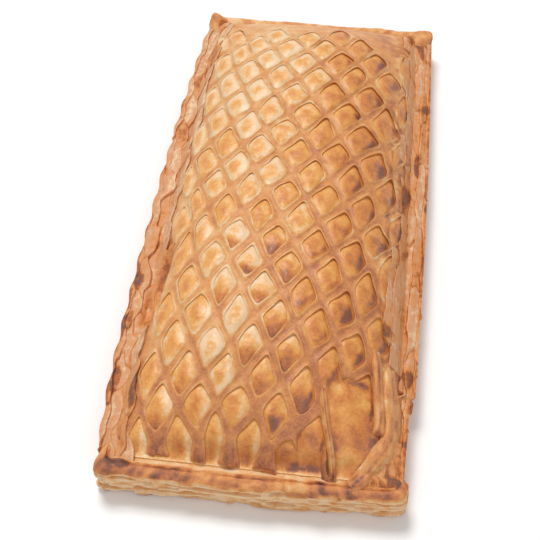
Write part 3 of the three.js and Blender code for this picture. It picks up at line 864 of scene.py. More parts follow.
class PASTRY_OT_cheese_filling(bpy.types.Operator):
    """Swells the filling through every window of the lattice"""
    bl_idname = "pastry.cheese_filling"
    bl_label = "Cheese filling"

    def execute(self, context):
        colours = context.scene.pastry_colours
        piece = lattice_grid("cheese_filling_mound", len(FILLING_RINGS) - 2)
        bpy.ops.mesh.poke()
        leave_edit()
        self.swell(piece, context.scene.pastry_sizes)
        apply_modifier(piece, "smooth swell", "SUBSURF", levels=1, render_levels=1)
        trim(piece, FILLING_SIDE_GAP, FILLING_FRONT_LAP, False)
        self.blister_and_bake(piece)
        self.close_below(piece)
        material = baked_material(
            "browned_cheese_filling",
            (colours.pale_cheese, colours.yellow_cheese, colours.toasted_cheese,
             colours.dark_cheese, colours.burnt_cheese),
            (0.0, 0.25, 0.55, 0.8, 1.0),
            mottle=(3.0, 0.23), grain=(0.6, 0.28), bump=(0.6, 0.6, 0.18), roughness=(0.34, 0.55),
            coat=0.2)
        finish_piece(piece, "cheese_filling", material, SMOOTH_ANGLE)
        return {"FINISHED"}

    def swell(self, piece, sizes):
        """Sets the height in each window, sunk at its edge and risen in its middle, and keeps how far
        each point lies out, right and near in its window, the window's tone and its sunk tip, which
        is painted dark as its shade."""
        ring = read_attribute(piece, "ring")
        column, row, across, along = cell_of(points_of(piece))
        poked = (np.abs(across) + np.abs(along) < 1e-4) & np.array(
            [has_window(c, r) for c, r in zip(column, row)])
        ring[poked] = len(FILLING_RINGS) - 1
        piece.data.attributes["ring"].data.foreach_set("value", ring)
        x, y, ring = lattice_lines(piece, 1, FILLING_RINGS, sizes)
        spread = np.array((UNDER_STRAND,) + FILLING_RINGS[1:])[ring]
        centre_x, centre_y = lattice_place(column, row)
        draw = np.array([cell_draw(c, r, 4) for c, r in zip(column, row)])
        tone = np.clip(toast(centre_x, centre_y) + TONE_DRAW * draw, 0, 1)
        tone = np.where(ring == 0, toast(x, y), tone)
        sink = (sizes.shallow_sink + (sizes.deep_sink - sizes.shallow_sink) * tone) / MM
        puff = sizes.puff / MM * (1 - 0.25 * tone)
        reach = np.abs(across) + np.abs(along) + 1e-6
        right = np.clip(spread, 0, 1) * across / reach
        near = np.clip(spread, 0, 1) * along / reach
        tilt = (0.2 + 0.4 * smoothstep(centre_x, 4, 16)) * tone * right - (0.14 + 0.16 * tone) * near
        rise = puff * (1 - np.clip(spread, 0, 1) ** 3.5)
        depth = np.where(ring == 0, sink + 0.5, np.maximum(sink + tilt, 0.08) - rise)
        reach = torn_reach(x, y)
        torn = 1 - smoothstep(reach, 0.85, 1.05)
        depth = depth + torn * (0.75 - 0.5 * (1 - reach) - depth)
        spread = spread + torn * (0.3 - spread)
        tone = tone + torn * (TORN_TONE - tone)
        right = right * (1 - torn)
        near = near * (1 - torn)
        # The near tips of the listed windows sink here, and further on they are painted dark as painted
        # shade
        tip_shade_strength = self.tip_shade(column, row) * (ring > 0)
        tip = smoothstep(near, 0.2, 0.6) * tip_shade_strength
        depth = depth + TIP_SINK * tip
        z = lid_height(x, y) - FILLING_ROOM - depth
        put_points(piece, np.column_stack([x, y, z]) * MM)
        write_attribute(piece, "spread", spread)
        write_attribute(piece, "tone", tone)
        write_attribute(piece, "right", np.where(ring == 0, 0, right))
        write_attribute(piece, "near", np.where(ring == 0, 0, near))
        write_attribute(piece, "tip", tip - tip_shade_strength * smoothstep(-near, -0.1, 0.5))

    def blister_and_bake(self, piece):
        """Gives the filling its blisters and its tone: browned hearts, pale edges, and right and near
        sides darkened partly by browning, partly by painted shade.
        """
        points = points_of(piece) / MM
        x, y = points[:, 0], points[:, 1]
        spread, tone, right, near, tip = (
            read_attribute(piece, name) for name in ("spread", "tone", "right", "near", "tip"))
        inside = 1 - smoothstep(spread, 0.8, 1.1)
        blister = ripple(points, 2.4, 11)
        fine = ripple(points, 1.1, 12)
        burst = bump_at(x, y, BURST_PLACE, BURST_REACH)
        points[:, 2] += inside * (0.26 * blister + 0.13 * fine) - 0.9 * burst
        points[:, 2] = np.minimum(points[:, 2], LID_HIGH[2])
        points[:, 2] += smoothstep(-y, 72, 76) * (STRIP_HEIGHT - points[:, 2])
        put_points(piece, points * MM)
        light = 1 - smoothstep(tone, 0.3, 0.6)
        pale = 0.01 + 0.62 * tone - 0.18 * tone * tone - 0.05 * light
        heart = 0.23 + 0.58 * tone - 0.2 * tone * tone - 0.01 * light
        off_heart = np.hypot(right + 0.1, near - 0.12)
        heart_share = (1 - 0.75 * smoothstep(off_heart, 0.3, 0.68)
                       - 0.25 * smoothstep(off_heart, 0.05, 0.4))
        bake = pale + (heart - pale) * heart_share
        # Right-hand windows darken towards their right side, middle ones towards their near side: partly
        # browning, partly painted shade of the sunk sides
        to_right = smoothstep(x, 0, 12)
        to_near = 0.1 + smoothstep(-y, 8, 40) * smoothstep(x, -9, 0) * (
            1 - 0.7 * smoothstep(x, 8, 16))
        lean = to_right * right + to_near * near + 0.35 * ripple(points, 9.0, 13)
        scorch = smoothstep(lean, 0.15, 0.6) * (1 - 0.85 * smoothstep(spread, 0.72, 0.95))
        bake = bake + 0.62 * scorch * smoothstep(tone, 0.35, 0.95) + 0.14 * blister + 0.1 * fine
        # Painted shade: dark in the burst hole, and a dark spot for the small hole beside the loose
        # strands
        bake += 0.7 * burst + 0.8 * bump_at(x, y, HOLE_SHADE_PLACE, HOLE_SHADE_REACH)
        # Painted shade at the sunk near tips of the listed windows, which are lighter towards their far
        # side
        bake += 0.14 * np.minimum(tip, 0)
        bake += np.clip(tip * (0.95 + 0.4 * blister), 0, 1) * (TIP_SHADE_TONE - bake)
        # Painted highlight: near the front left, each window's filling is paler on its right side
        front_left_highlight = smoothstep(-y, 56, 66) * (1 - smoothstep(x, 4, 10))
        bake -= 0.2 * front_left_highlight * smoothstep(right + 0.3 * blister, -0.1, 0.5)
        torn = 1 - smoothstep(torn_reach(x, y), 0.9, 1.05)
        bake += torn * (0.06 + 0.35 * ripple(points, 4.5, 14))
        # One of these patches is a painted shadow under the opening's far edge
        for spot, reach, gain in TORN_PATCHES_AND_SHADOW:
            bake += gain * bump_at(x, y, spot, reach)
        bake += smoothstep(-y, 75.5, 76.0) * (STRIP_TONE - bake)
        write_attribute(piece, "bake", np.clip(bake, 0, 1))

    def close_below(self, piece):
        """Takes the brink of the filling down to the bed and closes the mound there."""
        edit(piece, "EDGE")
        pick(piece, "edges", lambda line: line.is_boundary)
        bpy.ops.mesh.extrude_region_move(TRANSFORM_OT_translate={"value": (0, 0, -1 * MM)})
        mesh = bmesh.from_edit_mesh(piece.data)
        for point in mesh.verts:
            if point.select:
                point.co.z = BED_HEIGHT * MM
        bmesh.update_edit_mesh(piece.data)
        bpy.ops.mesh.edge_face_add()
        leave_edit()
        face_outward(piece)

    def tip_shade(self, column, row):
        """How strongly the near tip of each window sank and is painted dark as its shade."""
        strong = {(c, r): strength for c, r, strength in SHADED_TIP_WINDOWS}
        return np.array([strong.get((round(c), round(r)), 0.0) for c, r in zip(column, row)])


# Outline of the base sheet
CORNER_RADIUS = 1.8
OUTLINE_STEP = 0.1
LEFT_SWELL = 3.0
RIGHT_SWELL = 2.2
RIGHT_PLACE = 35.0
FRONT_SLANT = 1.5
SLANT_START = 5.0
SCALLOP_PITCH = 10.0
SCALLOP_DEPTH = 0.6
STEP_PLACE = -54.0
STEP_LENGTH = 22.0
STEP_DEPTH = 1.1
BED_CLEARANCE = 0.4
RIM_LAP = 1.6
ROUND_POINTS = 1100
RINGS_IN_LAYER = 5
NOISE_BETWEEN_LAYERS = 50.0
NOISE_BETWEEN_RINGS = 2.0

# Corners of the rim that rose: place, rise and reach
CORNER_LIFTS = (((-33, 81.5), 1.9, 1.8), ((34, 80), 1.1, 3.0), ((-33, -80), 0.5, 4.0))

# Rings of the rim from its brink to the bed: place across it, drop from the crest at the near end and at
# the long sides, and share of the pale strip at the near end
RIM_RINGS = (
    (0.16, 0.35, 0.4, 0.0), (0.27, 0.1, 0.2, 0.0), (0.37, 0.0, 0.05, 0.0), (0.46, 0.03, 0.0, 0.0),
    (0.54, 0.15, 0.0, -0.2), (0.59, 0.55, 0.0, -0.3), (0.64, 0.5, 0.05, -0.25), (0.69, 0.15, 0.1, 0.1),
    (0.75, 0.25, 0.15, 0.35), (0.81, 0.8, 0.25, 1.0), (0.87, 1.0, 0.35, 1.0), (0.94, 1.1, 0.6, 1.0),
)

# Rings of the bed: share of its outline
BED_RINGS = (0.97, 0.5)

# Burnt lumps at the near left corner: place, reach, rise and scorch
BURNT_LUMPS = (
    ((-28.6, -76.4), 1.2, 0.7, 1.0),
    ((-28.0, -78.5), 1.3, 0.8, 1.0),
    ((-32.0, -78.6), 1.3, 0.4, 0.5),
)

# Dark patches along the near rim: place and half length
RIM_PATCHES = (
    ((-24.5, -80.2), 2.6), ((-20.5, -80.6), 1.6), ((-13.5, -80.4), 4.0), ((-4.5, -81.0), 2.5),
    ((14.0, -81.4), 3.0), ((20.0, -80.4), 4.0), ((29.5, -79.5), 3.0),
)
PATCH_HALF_WIDTH = 1.1


def left_side(y):
    share = np.abs(y / BASE_HIGH[1])
    narrowing = LEFT_SWELL * np.where(y < 0, share ** 4, share ** 2)
    scallop = SCALLOP_DEPTH * (1 - np.cos(2 * math.pi * y / SCALLOP_PITCH)) / 2
    return BASE_LOW[0] + narrowing + scallop


def right_side(y):
    narrowing = RIGHT_SWELL * ((y - RIGHT_PLACE) / (BASE_HIGH[1] + RIGHT_PLACE)) ** 2
    step = smoothstep(y, STEP_PLACE - STEP_LENGTH, STEP_PLACE - STEP_LENGTH + 1) * (
        1 - smoothstep(y, STEP_PLACE - 0.5, STEP_PLACE + 0.5))
    return BASE_HIGH[0] - narrowing - STEP_DEPTH * step


def front_end(x):
    return BASE_LOW[1] + FRONT_SLANT * np.maximum(0, x - SLANT_START) / (BASE_HIGH[0] - SLANT_START)


def base_outline():
    """Evenly spaced points round the base sheet from above, from the near left corner."""
    low, high = BASE_LOW[1], BASE_HIGH[1]
    r = CORNER_RADIUS
    turn = np.linspace(0, math.pi / 2, 12)
    right_low = low + FRONT_SLANT + r
    along = np.arange(low + r, high - r, OUTLINE_STEP)
    right_along = along[along > right_low]
    across = np.linspace(0, 1, 400)
    corner = [left_side(low + r), right_side(right_low), right_side(high - r), left_side(high - r)]
    near_x = corner[0] + r + (corner[1] - corner[0] - 2 * r) * across
    runs = [
        np.column_stack([near_x, front_end(near_x)]),
        np.column_stack([corner[1] - r + r * np.sin(turn), right_low - r * np.cos(turn)]),
        np.column_stack([right_side(right_along), right_along]),
        np.column_stack([corner[2] - r + r * np.cos(turn), high - r + r * np.sin(turn)]),
        np.column_stack([corner[2] - r - (corner[2] - corner[3] - 2 * r) * across,
                         np.full(400, high)]),
        np.column_stack([corner[3] + r - r * np.sin(turn), high - r + r * np.cos(turn)]),
        np.column_stack([left_side(along[::-1]), along[::-1]]),
        np.column_stack([corner[0] + r - r * np.cos(turn), low + r - r * np.sin(turn)]),
    ]
    path = np.vstack(runs)
    path = np.vstack([path, path[:1]])
    length = np.concatenate([[0], np.cumsum(np.hypot(*np.diff(path, axis=0).T))])
    places = np.linspace(0, length[-1], ROUND_POINTS, endpoint=False)
    return np.column_stack([np.interp(places, length, path[:, k]) for k in (0, 1)])


def bed_outline(outline):
    """Where the rim meets the bed, just outside the lid."""
    x, y = outline.T
    side = np.where(x < 0, -left_side(y), right_side(y))
    half = DOME_HALF_WIDTH - RIM_LAP
    reach = np.where(y < 0, DOME_FRONT + BED_CLEARANCE, DOME_FAR - RIM_LAP)
    end = np.where(y < 0, -front_end(x), BASE_HIGH[1])
    return np.column_stack([DOME_AXIS + x / np.abs(side) * half, y / end * reach])


class PASTRY_OT_base_sheet(bpy.types.Operator):
    """Builds the layered base sheet up from its outline"""
    bl_idname = "pastry.base_sheet"
    bl_label = "Base sheet"

    def execute(self, context):
        sizes = context.scene.pastry_sizes
        colours = context.scene.pastry_colours
        deselect_all()
        bpy.ops.mesh.primitive_circle_add(vertices=ROUND_POINTS, radius=0.05, fill_type="NGON")
        piece = named("base_sheet_dough")
        outline = base_outline()
        inward = bed_outline(outline) - outline
        width = np.hypot(*inward.T)
        inward /= width[:, None]
        flat = np.column_stack([outline, np.zeros(ROUND_POINTS)])
        left = smoothstep(-outline[:, 0], 29, 33)
        right = smoothstep(outline[:, 0], 30, 34)
        front = smoothstep(-outline[:, 1], 74, 78.5)
        far = smoothstep(outline[:, 1], 75, 79)
        long_side = np.clip(left + right, 0, 1) * (1 - front) * (1 - far)
        crest = sizes.rim_height / MM + 0.35 * ripple(flat, 9.0, 21) + 0.25 * ripple(flat, 3.0, 22)
        crest += 0.8 * far - 1.0 * long_side
        for corner, gain, wide in CORNER_LIFTS:
            crest += gain * bump_at(*outline.T, corner, (wide, wide))
        profile = self.layers(flat, crest, width, front, long_side, sizes.layers)
        profile += self.rim(flat, crest, width, front, far, long_side)
        profile.append((np.full(ROUND_POINTS, BED_HEIGHT), width, np.full(ROUND_POINTS, 0.2)))
        rings = [np.column_stack([outline + inward * inset[:, None], height])
                 for height, inset, browned in profile]
        rings[0][:, 2] = 0
        tones = [browned for height, inset, browned in profile]
        for share in BED_RINGS:
            rings.append(rings[len(profile) - 1] * (share, share, 1))
            tones.append(np.full(ROUND_POINTS, 0.15))
        edit_all(piece)
        for _ in rings[1:]:
            bpy.ops.mesh.extrude_region_move(TRANSFORM_OT_translate={"value": (0, 0, 1 * MM)})
        leave_edit()
        placed = np.vstack(rings)
        burn = np.zeros(len(placed))
        for spot, wide, rise, scorch in BURNT_LUMPS:
            lump = bump_at(placed[:, 0], placed[:, 1], spot, (wide, wide)) * (placed[:, 2] > 6)
            placed[:, 2] += rise * lump
            burn = np.maximum(burn, scorch * lump)
        for spot, long in RIM_PATCHES:
            patch = bump_at(placed[:, 0], placed[:, 1], spot, (long, PATCH_HALF_WIDTH))
            burn = np.maximum(burn, 0.6 * patch * (placed[:, 2] > 6.5))
        put_points(piece, placed * MM)
        face_outward(piece)
        points = points_of(piece) / MM
        bake = np.concatenate(tones) + 0.1 * ripple(points, 1.4, 26) + 0.6 * burn
        write_attribute(piece, "bake", np.clip(bake, 0, 1))
        material = baked_material(
            "layered_base_dough",
            (colours.cream, colours.straw, colours.golden, colours.brown, colours.burnt),
            (0.0, 0.25, 0.45, 0.75, 1.0),
            mottle=(2.4, 0.4), grain=(0.5, 0.25), bump=(0.4, 0.6, 0.15), roughness=(0.5, 0.75),
            coat=0.0)
        finish_piece(piece, "base_sheet", material, LAYER_ANGLE)
        return {"FINISHED"}

    def layers(self, flat, crest, width, front, long_side, layers):
        """Rings of the side, leaf by leaf from the bottom: height, inset and tone."""
        sag = 0.9 * ripple(flat, 6.0, 34) + 0.35 * ripple(flat, 1.8, 35)
        bottom = 0.42 + 0.45 * smoothstep(-flat[:, 0], 8, 20)
        profile = []
        for layer in range(layers):
            flat[:, 2] = layer * NOISE_BETWEEN_LAYERS
            ledge = 0.4 + 0.5 * ripple(flat, 8.0, 23) + 0.4 * ripple(flat, 2.5, 24)
            ledge += 0.25 * np.sign(ripple(flat, 5.0, 28))
            ledge = np.clip(ledge, 0.05, 1.4)
            ledge += long_side * 0.3 * width * layer / layers
            lift = 0.3 * ripple(flat, 6.0, 25) + 0.12 * ripple(flat, 1.6, 27)
            tone = 0.4 + 0.4 * ripple(flat, 7.0, 29) + 0.3 * ripple(flat, 1.8, 30)
            for step in range(RINGS_IN_LAYER):
                share = step / RINGS_IN_LAYER
                groove = 0.42 * (2 * share - 1) ** 4
                height = (layer + share) / layers * (crest - 0.5) + lift * (layer > 0)
                inset = ledge + groove + 0.3 * (layer == 0) * (1 - share)
                cream = 0.05 + 0.16 * ripple(flat, 5.0, 33)
                cream += 0.3 * (step == 0) * smoothstep(ripple(flat, 9.0, 38), -0.15, 0.3)
                cream += bottom * (1 - smoothstep(height, 0.4, 1.1 + 0.5 * sag))
                cream += 0.5 * smoothstep(height, 7.4 + sag, 7.8 + sag)
                browned = tone + 0.16 * share
                profile.append((height, inset, browned + (cream - browned) * front))
        return profile

    def rim(self, flat, crest, width, front, far, long_side):
        """Rings of the rim: height, inset and tone, with a pale strip behind it at the near end."""
        x, y = flat[:, 0], flat[:, 1]
        rim_tone = 0.52 + 0.45 * ripple(flat, 5.0, 31) + 0.3 * ripple(flat, 1.8, 32)
        rim_tone += 0.12 * bump_at(x, y, (-33, -81), (3, 3))
        rim_tone += 0.3 * bump_at(x, y, (-33, 81.5), (2, 2)) - 0.2 * far
        pale = 0.1 + 0.2 * ripple(flat, 4.0, 36)
        seam = 0.06 * ripple(flat, 11.0, 37)
        profile = []
        for share, near_drop, side_drop, strip in RIM_RINGS:
            place = share + front * seam * (share > 0.5) + long_side * (1 - share) * 0.12
            drop = side_drop + (near_drop - side_drop) * front
            shade = rim_tone + (pale - rim_tone) * strip * front * (1 - smoothstep(x, 20, 25))
            flat[:, 2] += NOISE_BETWEEN_RINGS
            drop = drop + 0.3 * front * ripple(flat, 2.4, 39) * (share < 0.78)
            place = place + 0.04 * front * ripple(flat, 3.0, 40) * (share > 0.2)
            profile.append((crest - drop, width * place, shade))
        return profile


# Flaky plates of dough along the two long sides
PLATE_REACH = 12.5
PLATE_STEPS_ACROSS = 90
PLATE_STEPS_ALONG = 420
PLATE_ENDS = (-78.5, 80.5)
PLATE_WIDTH = {-1: 2.9, 1: 2.0}
PLATE_LENGTH = {-1: 10.0, 1: 19.0}
PLATE_INNER = {-1: 7.4, 1: 7.6}
PLATE_THICKNESS = 0.5
BOX_ROOM = 0.1


class PASTRY_OT_side_plates(bpy.types.Operator):
    """Lays the flaky plates of dough along the two long sides"""
    bl_idname = "pastry.side_plates"
    bl_label = "Side plates"

    def execute(self, context):
        colours = context.scene.pastry_colours
        material = baked_material(
            "flaky_side_dough",
            (colours.cream, colours.rosy, colours.golden, colours.amber, colours.burnt),
            (0.0, 0.28, 0.52, 0.76, 1.0),
            mottle=(1.6, 0.4), grain=(0.45, 0.3), bump=(0.4, 0.7, 0.15), roughness=(0.5, 0.75),
            coat=0.0)
        for name, hand in (("left_side_plates", -1), ("right_side_plates", 1)):
            piece = flat_grid(name, PLATE_STEPS_ACROSS, PLATE_STEPS_ALONG, 1)
            self.lay(piece, hand)
            apply_modifier(piece, "plate thickness", "SOLIDIFY", thickness=PLATE_THICKNESS * MM,
                           offset=-1 if hand < 0 else 1)
            points = points_of(piece)
            points[:, 0] = np.clip(points[:, 0], (BASE_LOW[0] + BOX_ROOM) * MM,
                                   (BASE_HIGH[0] - BOX_ROOM) * MM)
            put_points(piece, points)
            face_outward(piece)
            finish_piece(piece, None, material, PLATE_ANGLE)
        return {"FINISHED"}

    def lay(self, piece, hand):
        """Lays the plates of one side, some higher and darker than others, with gaps between them
        and, at the left, the hollow under the gap beside the lid."""
        grid = points_of(piece) + 0.5
        y = PLATE_ENDS[0] + (PLATE_ENDS[1] - PLATE_ENDS[0]) * grid[:, 1]
        away = grid[:, 0] * PLATE_REACH
        side = left_side(y) if hand < 0 else right_side(y)
        x = side - hand * (0.3 + away)
        grain = np.column_stack([away, 0.1 * y, np.full(len(x), 9.0 * hand)])
        streak = ripple(grain, 1.3, 64) + 0.6 * ripple(grain * (1, 2, 1), 0.6, 65)
        spot, brink, across, lift, shade = self.plates(away, y, grain, hand)
        brim = np.column_stack([0 * y, y, 0 * y])
        inner = PLATE_INNER[hand] + 1.1 * ripple(brim, 11.0, 60 + hand)
        gap, fading = pocket_place(x, y)
        if hand > 0:
            inner = inner - 5.2 * np.exp(-((y + 62) / 15) ** 4) + 4.0 * smoothstep(-y, 67, 74)
        else:
            inner = inner + POCKET_LAP * fading
        edge = 1 - smoothstep(brink, 0.02, 0.12)
        calm = 1 - 0.9 * smoothstep(-y, 66, 73) * (hand > 0)
        edge = edge * calm
        relief = 0.3 * lift + 0.35 * across
        height = self.slope(x, y, away) + calm * relief + 0.14 * streak - 0.2 * edge
        dive = np.maximum(0.8 * smoothstep(-y, 76.0, 78.4), 1.8 * smoothstep(y, 77.5, 80))
        hollow = fading * smoothstep(gap, -3.8, 0.3) * (hand < 0)
        height = height - np.maximum((spot > inner) * 1.8 * (1 - hollow), dive)
        close = smoothstep(-y, 5, 35)
        if hand < 0:
            tone = 0.3 + 0.13 * close + 0.15 * shade + 0.2 * streak + (0.08 + 0.09 * close) * edge
        else:
            tone = 0.38 + 0.14 * shade + 0.22 * streak + 0.12 * edge + 0.2 * smoothstep(-y, 58, 68)
        tone += 0.24 * (1 - smoothstep(away, 0.1, 1.1))
        tone -= 0.1 * smoothstep(brink, 0.06, 0.14) * (1 - smoothstep(brink, 0.2, 0.34))
        patch = 0.5 if hand > 0 else 0.2 + 0.3 * close
        tone += patch * smoothstep(ripple(grain * (0.5, 2.2, 1), 1.6, 66), 0.22, 0.5)
        if hand < 0:
            crack = bump_at(away, y, (4.6, -67), (0.4, 7))
            height = height - 1.2 * crack
            tone = tone + (0.55 - tone) * crack
            smooth = smoothstep(hollow, 0.05, 0.3)
            height = height + smooth * (self.slope(x, y, away) + 0.2 * streak - height)
            height = height - POCKET_DEPTH * hollow
            # The hollow is painted orange-brown, darker deeper in and towards its near end: the dough's
            # colour, deepened as painted shade
            hollow_tone_and_shade = 0.54 + 0.2 * smoothstep(hollow, 0.35, 0.9) + 0.1 * smoothstep(-y, 34, 40)
            tone = tone + smooth * (hollow_tone_and_shade + 0.1 * streak - tone)
        z = np.minimum(height, LID_HIGH[2])
        put_points(piece, np.column_stack([x, y, z]) * MM)
        write_attribute(piece, "bake", np.clip(tone, 0.02, 0.95))

    def plates(self, away, y, grain, hand):
        """The plate at each place: how far in it lies, the way to its brink, the place across it,
        and the plate's own draws of height and tone."""
        draw = np.random.default_rng(SEED + hand)
        wide, long = PLATE_WIDTH[hand], PLATE_LENGTH[hand]
        columns = range(math.ceil(PLATE_REACH / wide) + 1)
        rows = range(math.floor(PLATE_ENDS[0] / long) - 1, math.ceil(PLATE_ENDS[1] / long) + 2)
        spots = np.array([(column, row + column % 2 / 2) for column in columns for row in rows], float)
        spots += draw.uniform(-0.38, 0.38, spots.shape)
        lift, shade = draw.uniform(-1, 1, (2, len(spots)))
        place = np.column_stack([away / wide, y / long])
        place[:, 0] += 0.3 * ripple(grain * (1, 4, 1), 1.6, 67)
        place[:, 1] += 0.2 * ripple(grain * (1, 4, 1), 1.6, 68)
        reach = np.hypot(*(place[:, None, k] - spots[None, :, k] for k in (0, 1)))
        nearest = np.argsort(reach, axis=1)[:, :2]
        each = np.arange(len(place))
        first, second = nearest.T
        brink = reach[each, second] - reach[each, first]
        across = place[:, 0] - spots[first, 0]
        return spots[first, 0] * wide, brink, across, lift[first], shade[first]

    def slope(self, x, y, away):
        """Smooth height of the side that the plates lie on."""
        rim = 7.5 + 0.9 * smoothstep(away, 0, 3)
        lid = dome_height(x, y) - 0.1
        return np.logaddexp(rim / 0.4, lid / 0.4) * 0.4


# Strands that came loose at the front right: middle line from above, and width
LOOSE_STRANDS = (
    ("long_loose_strand", 2.6,
     ((25.2, -46.0), (26.1, -51.5), (26.9, -58.5), (27.3, -63.0), (27.4, -66.8))),
    ("slanting_loose_strand", 4.3,
     ((28.8, -48.0), (30.1, -56.0), (30.3, -63.2), (29.0, -69.4), (22.0, -78.4))),
    ("thin_loose_strand", 1.8,
     ((14.2, -59.0), (15.0, -64.0), (16.2, -68.5), (17.4, -72.6), (18.2, -76.6))),
)
STRAND_STEPS_ALONG = 60
STRAND_STEPS_ACROSS = 14
STRAND_GROOVE = 0.22
LOOSE_THICKNESS = 0.9
NEAR_RIM_TOP = 8.6


class PASTRY_OT_loose_strands(bpy.types.Operator):
    """Lays the strands that came loose beside the torn opening"""
    bl_idname = "pastry.loose_strands"
    bl_label = "Loose strands"

    def execute(self, context):
        material = lattice_dough(context.scene.pastry_colours)
        for index, (name, width, line) in enumerate(LOOSE_STRANDS):
            piece = flat_grid(name, STRAND_STEPS_ACROSS, STRAND_STEPS_ALONG, 2)
            self.lay(piece, index, width, line)
            apply_modifier(piece, "strand thickness", "SOLIDIFY", thickness=LOOSE_THICKNESS * MM,
                           offset=-1)
            finish_piece(piece, None, material, SMOOTH_ANGLE)
        return {"FINISHED"}

    def lay(self, piece, index, width, line):
        """Lays one strand along its line, arched across and grooved along its middle."""
        grid = points_of(piece)
        across = grid[:, 0]
        share = (1 - grid[:, 1]) / 2
        knots = np.linspace(0, 1, len(line))
        bend = np.polyfit(knots, np.array(line), 3)
        middle = np.column_stack([np.polyval(bend[:, k], share) for k in (0, 1)])
        run = np.column_stack([np.polyval(np.polyder(bend[:, k]), share) for k in (0, 1)])
        run /= np.hypot(*run.T)[:, None]
        turned = np.column_stack([-run[:, 1], run[:, 0]])
        flat = np.column_stack([middle, np.zeros(len(share))])
        uneven = 1 + 0.25 * ripple(flat, 4.0, 70 + index)
        uneven *= 0.6 + 0.4 * smoothstep(share, 0, 0.2) * smoothstep(1 - share, -0.05, 0.06)
        spot = middle + turned * (across * width / 2 * uneven)[:, None]
        x, y = spot.T
        bed = np.maximum(lid_height(x, y), NEAR_RIM_TOP - 1.2 * smoothstep(y, -78, -74))
        ends = smoothstep(share, 0, 0.12) * smoothstep(1 - share, -0.02, 0.06)
        groove = STRAND_GROOVE * np.exp(-((across - 0.15) / 0.16) ** 2)
        rise = 1.3 + 0.4 * smoothstep(-y, 68, 74) * (x > 20)
        z = bed - 0.5 + rise * ends * (1 - np.abs(across) ** 3) - groove
        points = np.column_stack([x, y, z])
        streak = ripple(points * (1, 0.15, 1), 0.9, 72 + index)
        z = z + 0.08 * streak
        bake = 0.44 + 0.3 * streak + 0.25 * ripple(points, 4.0, 74 + index)
        bake += 0.25 * smoothstep(share, 0.9, 0.98) - 0.14 * smoothstep(np.abs(across), 0.5, 0.85)
        # Painted shade: the groove along the strand's middle is darkened
        bake += 0.25 * groove / STRAND_GROOVE
        put_points(piece, np.column_stack([x, y, z]) * MM)
        write_attribute(piece, "bake", np.clip(bake, 0, 1))


# Studio floor and the camera's sensor and nearest sight
FLOOR_SIZE = 4
SENSOR_WIDTH = 36
NEAREST_SIGHT = 0.01


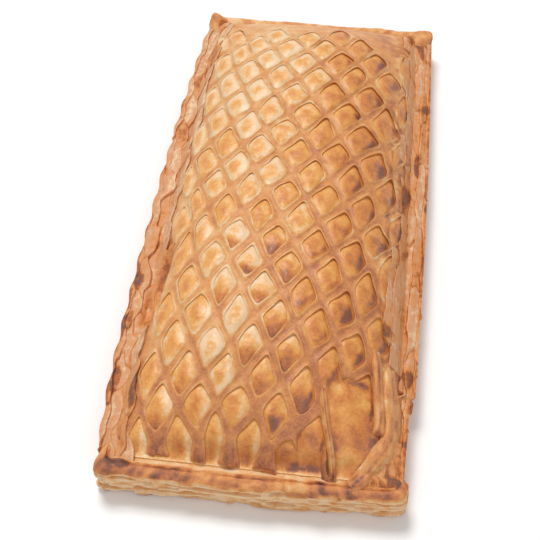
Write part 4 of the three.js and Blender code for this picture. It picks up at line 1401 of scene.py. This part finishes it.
class PASTRY_OT_stage(bpy.types.Operator):
    """Sets up the floor, the studio light and the camera"""
    bl_idname = "pastry.stage"
    bl_label = "Studio stage"

    def execute(self, context):
        stage = context.scene.pastry_stage
        colours = context.scene.pastry_colours
        deselect_all()
        bpy.ops.mesh.primitive_plane_add(size=FLOOR_SIZE, location=(0, 0, 0))
        floor = named("studio_floor")
        material = bpy.data.materials.new("pale_floor")
        material.use_nodes = True
        shader = material.node_tree.nodes["Principled BSDF"]
        shader.inputs["Base Color"].default_value = (*colours.floor, 1)
        shader.inputs["Roughness"].default_value = 0.8
        floor.data.materials.append(material)
        sky = bpy.data.worlds.new("soft_studio")
        sky.use_nodes = True
        backdrop = sky.node_tree.nodes["Background"]
        backdrop.inputs["Color"].default_value = (1, 1, 1, 1)
        backdrop.inputs["Strength"].default_value = stage.sky
        context.scene.world = sky
        for name, place, size, power in (
                ("key_light", (-0.6, 1.1, 2.2), 0.9, stage.key_power),
                ("fill_light", (0.6, -1.6, 1.7), 1.6, stage.fill_power)):
            bpy.ops.object.light_add(type="AREA", location=place)
            light = context.active_object
            light.name = name
            light.data.energy = power
            light.data.size = size
            aim = Vector((0, 0, 0)) - Vector(place)
            light.rotation_euler = aim.to_track_quat("-Z", "Y").to_euler()
        back = Vector((math.sin(stage.azimuth) * math.cos(stage.elevation),
                       -math.cos(stage.azimuth) * math.cos(stage.elevation),
                       math.sin(stage.elevation)))
        bpy.ops.object.camera_add(location=Vector(stage.target) + back * stage.distance)
        camera = context.active_object
        camera.name = "photo_camera"
        camera.rotation_euler = (-back).to_track_quat("-Z", "Y").to_euler()
        camera.data.lens = stage.lens
        camera.data.sensor_width = SENSOR_WIDTH
        camera.data.clip_start = NEAREST_SIGHT
        context.scene.camera = camera
        context.scene.view_settings.view_transform = "Standard"
        deselect_all()
        return {"FINISHED"}


class PASTRY_PT_panel(bpy.types.Panel):
    """Lists the steps that build the pastry"""
    bl_idname = "PASTRY_PT_panel"
    bl_label = "Cheese puff pastry"
    bl_space_type = "VIEW_3D"
    bl_region_type = "UI"
    bl_category = "Pastry"

    def draw(self, context):
        layout = self.layout
        for step in STEPS:
            layout.operator(step.bl_idname)
        for group in (context.scene.pastry_sizes, context.scene.pastry_colours,
                      context.scene.pastry_stage):
            for name in group.bl_rna.properties.keys():
                if name not in ("rna_type", "name"):
                    layout.prop(group, name)


STEPS = (PASTRY_OT_base_sheet, PASTRY_OT_cheese_filling, PASTRY_OT_lattice_lid,
         PASTRY_OT_side_plates, PASTRY_OT_loose_strands, PASTRY_OT_stage)
CLASSES = (PastrySizes, PastryColours, PastryStage) + STEPS + (PASTRY_PT_panel,)


def register():
    for item in CLASSES:
        bpy.utils.register_class(item)
    bpy.types.Scene.pastry_sizes = PointerProperty(type=PastrySizes)
    bpy.types.Scene.pastry_colours = PointerProperty(type=PastryColours)
    bpy.types.Scene.pastry_stage = PointerProperty(type=PastryStage)


def unregister():
    del bpy.types.Scene.pastry_stage
    del bpy.types.Scene.pastry_colours
    del bpy.types.Scene.pastry_sizes
    for item in reversed(CLASSES):
        bpy.utils.unregister_class(item)


def main():
    register()
    bpy.ops.pastry.base_sheet()
    bpy.ops.pastry.cheese_filling()
    bpy.ops.pastry.lattice_lid()
    bpy.ops.pastry.side_plates()
    bpy.ops.pastry.loose_strands()
    bpy.ops.pastry.stage()


if __name__ == "__main__":
    main()
